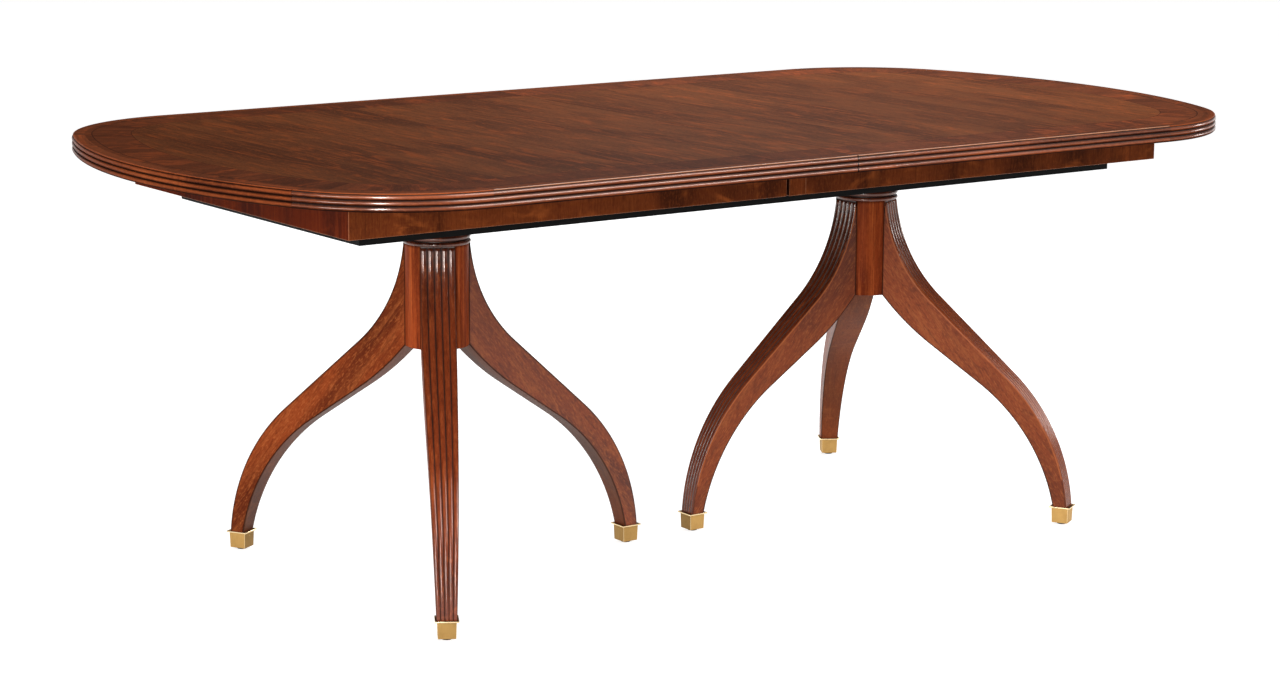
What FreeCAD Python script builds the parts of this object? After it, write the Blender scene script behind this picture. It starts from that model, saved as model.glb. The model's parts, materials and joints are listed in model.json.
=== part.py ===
import FreeCAD, Part
import math
import os

# Double pedestal dining table in two halves that draw apart on wooden slides.
# Millimetres, +Z up, origin on the floor under the middle of the closed table.
# The long edges run along X. The right half is drawn out along +X.

Vector = FreeCAD.Vector
UP = Vector(0, 0, 1)
CENTRE = Vector(0, 0, 0)

# Overall sizes
table_height = 762.0
top_length = 2088.0
top_width = 1100.0
end_bow_radius = 984.0
corner_radius = 277.0
extension_travel = 1016.0

# Top: core, mouldings and veneers
veneer_thickness = 0.8
moulding_width = 22.0
reed_height = 9.0
reed_depth = 3.2
edge_reed_count = 3
fillet_height = 2.0
fillet_set_back = 2.0
outer_band_width = 11.0
string_width = 2.0
cross_band_width = 65.0
field_line_width = 1.2
seam_gap = 0.8

# Slides, which set the length of the black frame around them
slide_overlap = 1030.0
slide_width = 26.0
slide_rail_gap = 4.0
slide_board_gap = 10.0
slide_end_gap = 10.0
slide_lane_gap = 1.0
slide_relief = 1.0
slide_relief_start = 20.0
tongue_height = 14.0
tongue_depth = 8.0
tongue_side_clearance = 0.4
tongue_end_clearance = 0.6

# Black frame under the top
frame_width = 600.0
frame_height = 84.0
frame_rail_thickness = 24.0
pedestal_board_length = 300.0
pedestal_board_thickness = 22.0

# Apron, outside the frame
apron_height = 62.0
apron_thickness = 20.0
apron_side_gap = 44.0
apron_end_gap = 36.0
apron_seam_gap = 6.0
seam_block_width = 35.0
corner_block_gap = 10.0
corner_block_drop = 50.0

# Pedestals, hung from the frame
inner_foot_gap = 110.4
capital_flange_thickness = 18.0
capital_flange_reach = 20.0
capital_neck_height = 28.0
capital_neck_step = 11.0
collar_thickness = 9.0
column_radius = 55.0
column_height = 185.0
ring_thickness = 7.0
column_neck_height = 2.0
column_neck_step = 5.0
spigot_radius = 30.0
spigot_clearance = 0.1

# Legs, drawn in the plane through the column axis
leg_count = 3
leg_reach = 399.0
leg_root_step = 3.6
leg_root_width = 59.0
leg_seat_depth = 9.0
leg_reed_count = 5
leg_reed_rise_share = 0.26
leg_stations = 25
seat_stations = 5
dovetail_depth = 16.0
dovetail_mouth = 20.0
dovetail_flare = 3.0
dovetail_top_drop = 24.0
joint_clearance = 0.1
# Where the straight run of each leg curve starts and ends: shares of its reach and its drop
outer_run_start_shares = (0.25, 0.326)
outer_run_end_shares = (0.67, 0.57)
under_run_start_shares = (0.28, 0.228)
under_run_end_shares = (0.568, 0.407)
leg_taper_power = 1.4

# Brass cups and glides
glide_radius = 8.8
glide_height = 3.6
glide_edge_round = 1.0
nail_radius = 1.5
nail_length = 14.0
cup_height = 28.0
cup_bottom_width = 30.0
cup_flare = 1.8
cup_wall = 2.4
cup_floor = 3.0
cup_lip_reach = 3.9
cup_lip_height = 2.6
cup_lip_round = 0.9
foot_side_reach = 2.0
foot_front_step = 4.3

# Pedestal bolts
bolt_radius = 4.0
bolt_edge_distance = 15.0
bolt_count = 4
bolt_head_radius = 9.0
bolt_head_height = 4.0
bolt_tail = 4.0
bolt_clearance = 0.3
nut_radius = 8.0
nut_height = 7.0
nut_sides = 6

# Leaf pins and their brass sockets in the seam edges
pin_radius = 5.0
pin_set_length = 22.0
pin_free_length = 14.0
pin_inner_place = 150.0
pin_outer_place = 380.0
pin_running_clearance = 0.4
socket_wall = 2.6
socket_end_room = 6.0

# Table locks under the seam
lever_centre_gap = 16.0
lock_pivot_back = 40.0
lock_stud_forward = 30.0
lock_plate_length = 56.0
lock_plate_width = 36.0
lock_plate_thickness = 3.0
lock_post_radius = 4.0
lock_head_radius = 7.0
lock_head_height = 3.5
lever_thickness = 5.0
lever_clearance = 0.5
lever_bore_clearance = 0.2
lever_boss_radius = 12.0
lever_arm_width = 16.0
lever_hook_radius = 16.0
lever_slot_clearance = 0.6
lever_grip_length = 18.0
lever_tab_thickness = 4.0
lever_tab_drop = 22.0
keeper_plate_length = 34.0

# Cuts run this far past the solids that they cut
overrun = 5.0
# Joined solids reach this far into each other
root_overlap = 1.0

# Levels and places that follow from the sizes above
half_length = top_length / 2
half_width = top_width / 2
moulding_height = edge_reed_count * reed_height + fillet_height
top_underside = table_height - moulding_height
veneer_bottom = table_height - veneer_thickness
core_middle = (top_underside + veneer_bottom) / 2
string_inset = moulding_width + outer_band_width
field_inset = string_inset + string_width + cross_band_width
end_centre_x = half_length - end_bow_radius
corner_centre_y = half_width - corner_radius
centre_distance = end_bow_radius - corner_radius
corner_centre_x = end_centre_x + math.sqrt(centre_distance ** 2 - corner_centre_y ** 2)
corner_angle = math.degrees(math.asin(corner_centre_y / centre_distance))
seam_x = seam_gap / 2

frame_bottom = top_underside - frame_height
frame_inside = frame_width / 2 - frame_rail_thickness
board_top = frame_bottom + pedestal_board_thickness
slide_half = (extension_travel / 2 + slide_overlap) / 2
slide_bottom = board_top + slide_board_gap
slide_middle = (slide_bottom + top_underside) / 2
slide_planed_top = top_underside - slide_relief
frame_end = slide_half + slide_end_gap + frame_rail_thickness

apron_bottom = top_underside - apron_height
apron_front = frame_width / 2 + apron_side_gap + apron_thickness
apron_end_x = frame_end + apron_end_gap + apron_thickness
corner_block_leg = apron_side_gap + apron_end_gap - corner_block_gap

flange_bottom = frame_bottom - capital_flange_thickness
collar_top = flange_bottom - capital_neck_height
collar_bottom = collar_top - collar_thickness
column_top = collar_bottom - column_neck_height
column_bottom = column_top - column_height
ring_crest_radius = column_radius + ring_thickness / 2
capital_flange_radius = column_radius + capital_flange_reach
bolt_circle_radius = capital_flange_radius - bolt_edge_distance

cup_top_width = cup_bottom_width + cup_flare
cup_lip_width = cup_top_width + 2 * cup_lip_reach
cup_lip_bottom = glide_height + cup_height
cup_lip_top = cup_lip_bottom + cup_lip_height
cup_pocket_width = cup_bottom_width - 2 * cup_wall
pedestal_x = leg_reach + cup_lip_width / 2 + inner_foot_gap / 2

leg_turn = 360 / leg_count
leg_top = column_top - ring_thickness
leg_seat_radius = column_radius - leg_seat_depth
leg_root_radius = column_radius - leg_root_step
leg_foot_width = cup_top_width + foot_side_reach
leg_foot_depth = cup_top_width - foot_front_step
foot_outside = leg_reach + leg_foot_depth / 2
foot_inside = leg_reach - leg_foot_depth / 2

socket_radius = pin_radius + pin_running_clearance + socket_wall
socket_length = pin_free_length + socket_end_room

lock_reach = lock_pivot_back + lock_stud_forward
lever_tab_reach = lock_reach + lever_hook_radius + lever_grip_length
lock_place = lever_tab_reach + lever_centre_gap
lock_plate_bottom = top_underside - lock_plate_thickness
lever_top = lock_plate_bottom - lever_clearance
lever_bottom = lever_top - lever_thickness
lock_head_top = lever_bottom - lever_clearance
lock_head_bottom = lock_head_top - lock_head_height


# Shape helpers
def block(x0, x1, y0, y1, z0, z1):
    return Part.makeBox(x1 - x0, y1 - y0, z1 - z0, Vector(x0, y0, z0))


def rod(radius, z0, z1, x=0, y=0):
    return Part.makeCylinder(radius, z1 - z0, Vector(x, y, z0))


def rod_along_x(radius, x0, x1, y, z):
    return Part.makeCylinder(radius, x1 - x0, Vector(x0, y, z), Vector(1, 0, 0))


def prism(outline, z0, z1):
    points = [Vector(x, y, z0) for x, y in outline]
    face = Part.Face(Part.makePolygon(points + points[:1]))
    return face.extrude(Vector(0, 0, z1 - z0))


def line(start, end):
    return Part.LineSegment(start, end).toShape()


def arc(start, middle, end):
    return Part.Arc(start, middle, end).toShape()


def polar(centre, radius, degrees):
    angle = math.radians(degrees)
    return Vector(centre.x + radius * math.cos(angle), centre.y + radius * math.sin(angle), centre.z)


def arc_about(centre, radius, start_degrees, end_degrees):
    middle_degrees = (start_degrees + end_degrees) / 2
    angles = (start_degrees, middle_degrees, end_degrees)
    return arc(*[polar(centre, radius, angle) for angle in angles])


def turned(edges):
    face = Part.Face(Part.Wire(edges))
    return face.revolve(CENTRE, UP, 360)


def turn(shape, degrees):
    turned_copy = shape.copy()
    turned_copy.rotate(CENTRE, UP, degrees)
    return turned_copy


def half_turn(shape):
    return turn(shape, 180)


def moved(shape, x, y=0):
    moved_copy = shape.copy()
    moved_copy.translate(Vector(x, y, 0))
    return moved_copy


def mirrored_y(shape):
    return shape.mirror(CENTRE, Vector(0, 1, 0))


def cut_all(shape, cutters):
    for cutter in cutters:
        shape = shape.cut(cutter)
    return shape


def save(name, *solids):
    shape = solids[0] if len(solids) == 1 else Part.makeCompound(list(solids))
    shape.exportStep("parts/" + name + ".step")


# Top of the right half, between the seam and the bowed end
def half_outline(inset, z):
    side_y = half_width - inset
    end_centre = Vector(end_centre_x, 0, z)
    front_centre = Vector(corner_centre_x, -corner_centre_y, z)
    back_centre = Vector(corner_centre_x, corner_centre_y, z)
    front_seam = Vector(seam_x, -side_y, z)
    back_seam = Vector(seam_x, side_y, z)
    edges = [
        line(front_seam, Vector(corner_centre_x, -side_y, z)),
        arc_about(front_centre, corner_radius - inset, -90, -corner_angle),
        arc_about(end_centre, end_bow_radius - inset, -corner_angle, corner_angle),
        arc_about(back_centre, corner_radius - inset, corner_angle, 90),
        line(Vector(corner_centre_x, side_y, z), back_seam),
        line(back_seam, front_seam),
    ]
    return Part.Wire(edges)


def half_panel(inset, z0, z1):
    return Part.Face(half_outline(inset, z0)).extrude(Vector(0, 0, z1 - z0))


def half_band(outer_inset, inner_inset, z0, z1):
    return half_panel(outer_inset, z0, z1).cut(half_panel(inner_inset, z0 - overrun, z1 + overrun))


def top_core():
    return half_panel(moulding_width, top_underside, veneer_bottom)


def veneer_band(outer_inset, inner_inset):
    return half_band(outer_inset, inner_inset, veneer_bottom, table_height)


def border_bands():
    outer_band = veneer_band(moulding_width, string_inset)
    cross_band = veneer_band(string_inset + string_width, field_inset)
    return outer_band, cross_band


def inlay_strings():
    outer_string = veneer_band(string_inset, string_inset + string_width)
    inner_string = veneer_band(field_inset, field_inset + field_line_width)
    return outer_string, inner_string


def field_veneer():
    return half_panel(field_inset + field_line_width, veneer_bottom, table_height)


# Reeded moulding: its section stands in the XZ plane, at radius from the Z axis
def moulding_section(radius):
    def point(inset, z):
        return Vector(radius - inset, 0, z)

    back_bottom = point(moulding_width, top_underside)
    back_top = point(moulding_width, table_height)
    edges = [line(back_bottom, point(reed_depth, top_underside))]
    for index in range(edge_reed_count):
        z = top_underside + index * reed_height
        start = point(reed_depth, z)
        crest = point(0, z + reed_height / 2)
        end = point(reed_depth, z + reed_height)
        edges.append(arc(start, crest, end))
    fillet_bottom = point(fillet_set_back, table_height - fillet_height)
    fillet_top = point(fillet_set_back, table_height)
    edges.append(line(edges[-1].Vertexes[-1].Point, fillet_bottom))
    edges.append(line(fillet_bottom, fillet_top))
    edges.append(line(fillet_top, back_top))
    edges.append(line(back_top, back_bottom))
    return Part.Face(Part.Wire(edges))


def straight_moulding():
    section = turn(moulding_section(half_width), -90)
    section.translate(Vector(seam_x, 0, 0))
    return section.extrude(Vector(corner_centre_x - seam_x, 0, 0))


def curved_moulding(radius, centre_x, centre_y, start_degrees, end_degrees):
    section = turn(moulding_section(radius), start_degrees)
    section.translate(Vector(centre_x, centre_y, 0))
    return section.revolve(Vector(centre_x, centre_y, 0), UP, end_degrees - start_degrees)


def corner_moulding():
    return curved_moulding(corner_radius, corner_centre_x, -corner_centre_y, -90, -corner_angle)


def end_moulding():
    return curved_moulding(end_bow_radius, end_centre_x, 0, -corner_angle, corner_angle)


# Apron of the right half, mitred at the end corners
def apron_side(seam_end):
    inner_x = apron_end_x - apron_thickness
    inner_y = -apron_front + apron_thickness
    outline = [(seam_end, -apron_front), (apron_end_x, -apron_front)]
    outline += [(inner_x, inner_y), (seam_end, inner_y)]
    return prism(outline, apron_bottom, top_underside)


def apron_end():
    inner_x = apron_end_x - apron_thickness
    inner_y = apron_front - apron_thickness
    outline = [(apron_end_x, -apron_front), (apron_end_x, apron_front)]
    outline += [(inner_x, inner_y), (inner_x, -inner_y)]
    return prism(outline, apron_bottom, top_underside)


def apron_seam_block():
    x0 = apron_seam_gap / 2
    x1 = x0 + seam_block_width
    return block(x0, x1, -apron_front, -apron_front + apron_thickness, apron_bottom, top_underside)


def apron_corner_block():
    x1 = apron_end_x - apron_thickness
    y1 = -apron_front + apron_thickness
    outline = [(x1, y1), (x1, y1 + corner_block_leg), (x1 - corner_block_leg, y1)]
    return prism(outline, top_underside - corner_block_drop, top_underside)


# Black frame of the right half
def frame_side_rail():
    return block(seam_x, frame_end, -frame_width / 2, -frame_inside, frame_bottom, top_underside)


def frame_end_rail():
    x0 = frame_end - frame_rail_thickness
    return block(x0, frame_end, -frame_inside, frame_inside, frame_bottom, top_underside)


def bolt_places():
    step = 360 / bolt_count
    return [polar(CENTRE, bolt_circle_radius, step / 2 + index * step) for index in range(bolt_count)]


def bolt_holes(z0, z1):
    return [rod(bolt_radius + bolt_clearance, z0, z1, p.x, p.y) for p in bolt_places()]


def pedestal_board():
    half = pedestal_board_length / 2
    board = block(-half, half, -frame_inside, frame_inside, frame_bottom, board_top)
    z0 = frame_bottom - overrun
    z1 = board_top + overrun
    cutters = bolt_holes(z0, z1) + [rod(spigot_radius + spigot_clearance, z0, z1)]
    return moved(cut_all(board, cutters), pedestal_x)


# Slides: lane 0 lies beside the frame rail, lanes 1 and 2 further in, all at the front
def lane_outside(lane):
    return -(frame_inside - slide_rail_gap - lane * (slide_width + slide_lane_gap))


def slide_blank(lane, z1):
    y0 = lane_outside(lane)
    return block(-slide_half, slide_half, y0, y0 + slide_width, slide_bottom, z1)


def groove(y0, y1):
    end = slide_half + overrun
    rise = tongue_height / 2 + tongue_side_clearance
    return block(-end, end, y0, y1, slide_middle - rise, slide_middle + rise)


def fixed_slide(lane, groove_inside, fixed_right):
    blank = slide_blank(lane, top_underside)
    y0 = lane_outside(lane)
    y1 = y0 + slide_width
    reach = tongue_depth + tongue_end_clearance
    groove_cut = groove(y1 - reach, y1 + overrun) if groove_inside else groove(y0 - overrun, y0 + reach)
    end = slide_half + overrun
    relief_x0 = -end if fixed_right else -slide_relief_start
    relief_x1 = slide_relief_start if fixed_right else end
    z1 = top_underside + overrun
    relief = block(relief_x0, relief_x1, y0 - overrun, y1 + overrun, slide_planed_top, z1)
    return cut_all(blank, [groove_cut, relief])


def middle_slide():
    lane = 1
    body = slide_blank(lane, slide_planed_top)
    y0 = lane_outside(lane)
    reach = slide_lane_gap + tongue_depth
    y1 = y0 + slide_width + reach
    z0 = slide_middle - tongue_height / 2
    tongue = block(-slide_half, slide_half, y0 - reach, y1, z0, z0 + tongue_height)
    return body.fuse(tongue).removeSplitter()


# Turned column with a half-round ring on top, flat seats and dovetail slots for the legs, on the Z axis
def dovetail(z0, z1, clearance):
    inner = leg_seat_radius - dovetail_depth - clearance
    mouth = dovetail_mouth / 2 + clearance
    back = mouth + dovetail_flare
    outer = leg_seat_radius + root_overlap
    outline = [(inner, -back), (leg_seat_radius, -mouth), (outer, -mouth)]
    outline += [(outer, mouth), (leg_seat_radius, mouth), (inner, back)]
    return prism(outline, z0, z1)


def leg_housing():
    z0 = column_bottom - overrun
    half = leg_root_width / 2 + joint_clearance
    seat = block(leg_seat_radius, column_radius + overrun, -half, half, z0, leg_top)
    slot = dovetail(z0, leg_top - dovetail_top_drop + joint_clearance, joint_clearance)
    return seat.fuse(slot)


def column():
    def point(radius, z):
        return Vector(radius, 0, z)

    ring_crest = point(ring_crest_radius, column_top - ring_thickness / 2)
    corners = [point(0, column_bottom), point(column_radius, column_bottom), point(column_radius, leg_top)]
    neck = column_radius - column_neck_step
    after = [point(column_radius, column_top), point(neck, column_top)]
    after += [point(neck, collar_bottom), point(spigot_radius, collar_bottom)]
    after += [point(spigot_radius, board_top), point(0, board_top), point(0, column_bottom)]
    edges = [line(a, b) for a, b in zip(corners, corners[1:])]
    edges.append(arc(corners[-1], ring_crest, after[0]))
    edges += [line(a, b) for a, b in zip(after, after[1:])]
    return cut_all(turned(edges), [turn(leg_housing(), index * leg_turn) for index in range(leg_count)])


# Turned capital: half-round collar, hollow neck and a flange under the pedestal board
def collar():
    def point(radius, z):
        return Vector(radius, 0, z)

    half_round = collar_thickness / 2
    rim = ring_crest_radius - half_round
    bore_bottom = point(spigot_radius + spigot_clearance, collar_bottom)
    bore_top = point(spigot_radius + spigot_clearance, frame_bottom)
    rim_bottom = point(rim, collar_bottom)
    rim_crest = point(ring_crest_radius, collar_bottom + half_round)
    rim_top = point(rim, collar_top)
    cove = point(column_radius - capital_neck_step, (collar_top + flange_bottom) / 2)
    cove_top = point(column_radius - column_neck_step, flange_bottom)
    flange_low = point(capital_flange_radius, flange_bottom)
    flange_high = point(capital_flange_radius, frame_bottom)
    edges = [
        line(bore_bottom, rim_bottom),
        arc(rim_bottom, rim_crest, rim_top),
        arc(rim_top, cove, cove_top),
        line(cove_top, flange_low),
        line(flange_low, flange_high),
        line(flange_high, bore_top),
        line(bore_top, bore_bottom),
    ]
    return cut_all(turned(edges), bolt_holes(flange_bottom - overrun, frame_bottom + overrun))


# Bolts and nuts through the flange and the board, on the Z axis
def pedestal_bolts():
    pieces = []
    tail_top = board_top + nut_height + bolt_tail
    for p in bolt_places():
        head = rod(bolt_head_radius, flange_bottom - bolt_head_height, flange_bottom, p.x, p.y)
        shank = rod(bolt_radius, flange_bottom, tail_top, p.x, p.y)
        pieces.append(head.fuse(shank).removeSplitter())
        corners = [polar(p, nut_radius, 360 / nut_sides * index) for index in range(nut_sides)]
        nut = prism([(c.x, c.y) for c in corners], board_top, board_top + nut_height)
        pieces.append(nut.cut(rod(bolt_radius, board_top - overrun, tail_top + overrun, p.x, p.y)))
    return pieces


# Leg curves in the XZ plane: a straight run with an arc at each end, tangent to it
def between(start, end, shares):
    return Vector(start.x + (end.x - start.x) * shares[0], 0, start.z + (end.z - start.z) * shares[1])


def tangent_arc(touch, direction, far):
    across = Vector(-direction.z, 0, direction.x)
    chord = far - touch
    centre = touch + across * (chord.Length ** 2 / (2 * chord.dot(across)))
    radius = (touch - centre).Length
    middle = centre + ((touch + far) * 0.5 - centre).normalize() * radius
    return arc(touch, middle, far)


def leg_curve(start, end, run_start_shares, run_end_shares):
    run_start = between(start, end, run_start_shares)
    run_end = between(start, end, run_end_shares)
    direction = (run_end - run_start).normalize()
    hollow = tangent_arc(run_start, direction, start)
    knee = tangent_arc(run_end, direction, end)
    return Part.Wire(Part.sortEdges([hollow, line(run_start, run_end), knee])[0])


def outer_curve():
    start = Vector(leg_root_radius, 0, leg_top)
    end = Vector(foot_outside, 0, cup_lip_top)
    return leg_curve(start, end, outer_run_start_shares, outer_run_end_shares)


def under_curve():
    start = Vector(leg_seat_radius, 0, column_bottom)
    end = Vector(foot_inside, 0, cup_lip_top)
    return leg_curve(start, end, under_run_start_shares, under_run_end_shares)


# Evenly spaced points along a curve, from the column to the foot
def stations(curve, count):
    points = curve.discretize(Number=count)
    return points if points[0].z > points[-1].z else points[::-1]


# One cross-section of a leg: flat sides and underside, reeds on the outer face
def leg_section(inner, outer, width):
    outward = (outer - inner).normalize()
    reed_width = width / leg_reed_count
    root = outer - outward * (leg_reed_rise_share * reed_width)

    def point(place, y):
        return Vector(place.x, y, place.z)

    half = width / 2
    edges = [line(point(root, half), point(inner, half))]
    edges.append(line(point(inner, half), point(inner, -half)))
    edges.append(line(point(inner, -half), point(root, -half)))
    for index in range(leg_reed_count):
        y = -half + index * reed_width
        edges.append(arc(point(root, y), point(outer, y + reed_width / 2), point(root, y + reed_width)))
    return Part.Wire(edges)


# Squares about the middle of a foot
def square_wire(width, z):
    half = width / 2
    corners = [(-half, -half), (half, -half), (half, half), (-half, half), (-half, -half)]
    return Part.makePolygon([Vector(leg_reach + x, y, z) for x, y in corners])


def square_block(width, z0, z1):
    half = width / 2
    return block(leg_reach - half, leg_reach + half, -half, half, z0, z1)


def foot_tenon():
    z0 = glide_height + cup_floor + joint_clearance
    tenon = square_block(cup_pocket_width - 2 * joint_clearance, z0, cup_lip_top + root_overlap)
    nail_top = nail_length + joint_clearance
    return tenon, rod(nail_radius + joint_clearance, z0 - overrun, nail_top, leg_reach)


def leg():
    outer = stations(outer_curve(), leg_stations)
    under = stations(under_curve(), leg_stations - seat_stations)
    seat_top = Vector(leg_seat_radius, 0, leg_top)
    seat = [seat_top + (under[0] - seat_top) * (index / seat_stations) for index in range(seat_stations)]
    inner = seat + under
    taper_run = leg_stations - 1 - seat_stations
    sections = []
    for index in range(leg_stations):
        taper = (max(0, index - seat_stations) / taper_run) ** leg_taper_power
        width = leg_root_width + (leg_foot_width - leg_root_width) * taper
        sections.append(leg_section(inner[index], outer[index], width))
    upper = Part.makeLoft(sections[:seat_stations + 1], True)
    lower = Part.makeLoft(sections[seat_stations:], True)
    tenon, nail_hole = foot_tenon()
    tongue = dovetail(column_bottom, leg_top - dovetail_top_drop, 0)
    whole = upper.fuse([lower, tongue, tenon])
    return whole.cut(nail_hole).removeSplitter()


# Square brass cup on the foot, and the glide nailed in under it
def sabot():
    rims = [square_wire(cup_bottom_width, glide_height), square_wire(cup_top_width, cup_lip_bottom)]
    cup = Part.makeLoft(rims, True)
    lip = square_block(cup_lip_width, cup_lip_bottom, cup_lip_top)
    lip = lip.makeFillet(cup_lip_round, lip.Edges)
    pocket_floor = glide_height + cup_floor
    pocket = square_block(cup_pocket_width, pocket_floor, cup_lip_top + overrun)
    hole_radius = nail_radius + joint_clearance
    nail_hole = rod(hole_radius, glide_height - overrun, pocket_floor + overrun, leg_reach)
    return cut_all(cup.fuse(lip), [pocket, nail_hole])


def glide():
    disc = rod(glide_radius, 0, glide_height, leg_reach)
    disc = disc.makeFillet(glide_edge_round, [disc.Edges[2]])
    nail = rod(nail_radius, glide_height - root_overlap, nail_length, leg_reach)
    return disc.fuse(nail).removeSplitter()


# Table locks: a plate with a headed post, a hooked lever and a keeper with a headed stud
def headed_post():
    post = rod(lock_post_radius, lock_head_bottom, lock_plate_bottom + root_overlap)
    return post.fuse(rod(lock_head_radius, lock_head_bottom, lock_head_top))


def lock_base():
    half = lock_plate_width / 2
    reach = lock_plate_length / 2
    plate = block(-reach, reach, -half, half, lock_plate_bottom, top_underside)
    return moved(plate.fuse(headed_post()).removeSplitter(), -lock_pivot_back, -lock_place)


def lock_keeper():
    half = lock_plate_width / 2
    reach = keeper_plate_length / 2
    plate = block(-reach, reach, -half, half, lock_plate_bottom, top_underside)
    return moved(plate.fuse(headed_post()).removeSplitter(), lock_stud_forward, -lock_place)


def lock_lever():
    half_arm = lever_arm_width / 2
    boss = rod(lever_boss_radius, lever_bottom, lever_top)
    hook = rod(lever_hook_radius, lever_bottom, lever_top, lock_reach)
    arm = block(0, lever_tab_reach, -half_arm, half_arm, lever_bottom, lever_top)
    tab_x0 = lever_tab_reach - lever_tab_thickness
    tab = block(tab_x0, lever_tab_reach, -half_arm, half_arm, lever_bottom - lever_tab_drop, lever_top)
    slot_half = lock_post_radius + lever_slot_clearance
    z0 = lever_bottom - overrun
    z1 = lever_top + overrun
    ring = rod(lock_reach + slot_half, z0, z1).cut(rod(lock_reach - slot_half, z0, z1))
    mouth_x0 = lock_reach - lever_hook_radius
    mouth_x1 = lock_reach + lever_hook_radius
    mouth = ring.common(block(mouth_x0, mouth_x1, -lever_hook_radius - overrun, 0, z0, z1))
    slot_end = rod(slot_half, z0, z1, lock_reach)
    bore = rod(lock_post_radius + lever_bore_clearance, z0, z1)
    whole = cut_all(boss.fuse([hook, arm, tab]), [mouth, slot_end, bore]).removeSplitter()
    return moved(turn(whole, 90), -lock_pivot_back, -lock_place)


# Leaf pins in the left seam edge and sockets in the right one
pin_places = [-pin_outer_place, -pin_inner_place, pin_inner_place, pin_outer_place]


def leaf_pin(y):
    return rod_along_x(pin_radius, -seam_x - pin_set_length, -seam_x + pin_free_length, y, core_middle)


def pin_hole(y):
    x0 = -seam_x - pin_set_length - joint_clearance
    return rod_along_x(pin_radius + joint_clearance, x0, overrun, y, core_middle)


def leaf_pin_socket(y):
    bush = rod_along_x(socket_radius, seam_x, seam_x + socket_length, y, core_middle)
    return bush.cut(rod_along_x(pin_radius + pin_running_clearance, -overrun, half_length, y, core_middle))


def socket_hole(y):
    x1 = seam_x + socket_length
    return rod_along_x(socket_radius + joint_clearance, -overrun, x1 + joint_clearance, y, core_middle)


# Write every piece. The left half is the right half turned half round.
os.makedirs("parts", exist_ok=True)

right_core = top_core()
save("top_core_right", cut_all(right_core, [socket_hole(y) for y in pin_places]))
save("top_core_left", cut_all(half_turn(right_core), [pin_hole(y) for y in pin_places]))
save("leaf_pins", *[leaf_pin(y) for y in pin_places])
save("leaf_pin_sockets", *[leaf_pin_socket(y) for y in pin_places])


def save_pair(stem, *solids):
    save(stem + "_right", *solids)
    save(stem + "_left", *[half_turn(solid) for solid in solids])


save_pair("field_veneer", field_veneer())
save_pair("border_veneer", *border_bands())
save_pair("inlay_string", *inlay_strings())
save_pair("end_moulding", end_moulding())
save_pair("corner_mouldings", corner_moulding(), mirrored_y(corner_moulding()))

front_moulding = straight_moulding()
back_moulding = mirrored_y(front_moulding)
save("front_moulding_right", front_moulding)
save("back_moulding_right", back_moulding)
save("front_moulding_left", half_turn(back_moulding))
save("back_moulding_left", half_turn(front_moulding))

right_apron = apron_side(apron_seam_gap / 2 + seam_block_width)
left_apron = apron_side(apron_seam_gap / 2)
save("apron_front_right", right_apron)
save("apron_back_right", mirrored_y(right_apron))
save("apron_front_left", half_turn(mirrored_y(left_apron)))
save("apron_back_left", half_turn(left_apron))
save("apron_seam_blocks", apron_seam_block(), mirrored_y(apron_seam_block()))
save_pair("apron_end", apron_end())
save_pair("apron_corner_blocks", apron_corner_block(), mirrored_y(apron_corner_block()))

save_pair("frame_side_rails", frame_side_rail(), mirrored_y(frame_side_rail()))
save_pair("frame_end_rail", frame_end_rail())
save_pair("pedestal_board", pedestal_board())

outer_slide = fixed_slide(0, True, False)
inner_slide = fixed_slide(2, False, True)
save("slide_front_left", outer_slide)
save("slide_back_right", half_turn(outer_slide))
save("slide_front_right", inner_slide)
save("slide_back_left", half_turn(inner_slide))
save("slide_front_middle", middle_slide())
save("slide_back_middle", half_turn(middle_slide()))

# The right pedestal's legs point inward, to the front and to the back
leg_angles = {"inner": 180, "front": 180 + leg_turn, "back": 180 - leg_turn}


def on_right_pedestal(solid, degrees=180):
    return moved(turn(solid, degrees), pedestal_x)


save_pair("column", on_right_pedestal(column()))
save_pair("collar", on_right_pedestal(collar()))
save_pair("pedestal_bolts", *[on_right_pedestal(piece) for piece in pedestal_bolts()])
save_pair("sabots", *[on_right_pedestal(sabot(), angle) for angle in leg_angles.values()])
save_pair("glides", *[on_right_pedestal(glide(), angle) for angle in leg_angles.values()])

table_leg = leg()
for side, angle in leg_angles.items():
    right_leg = on_right_pedestal(table_leg, angle)
    opposite = {"inner": "inner", "front": "back", "back": "front"}[side]
    save("leg_right_" + side, right_leg)
    save("leg_left_" + opposite, half_turn(right_leg))

lever = lock_lever()
save("lock_bases", lock_base(), mirrored_y(lock_base()))
save("lock_keepers", lock_keeper(), mirrored_y(lock_keeper()))
save("lock_lever_front", lever)
save("lock_lever_back", mirrored_y(lever))
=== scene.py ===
import json
import math
from typing import NamedTuple

import bmesh
import bpy
from mathutils import Matrix, Vector


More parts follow.
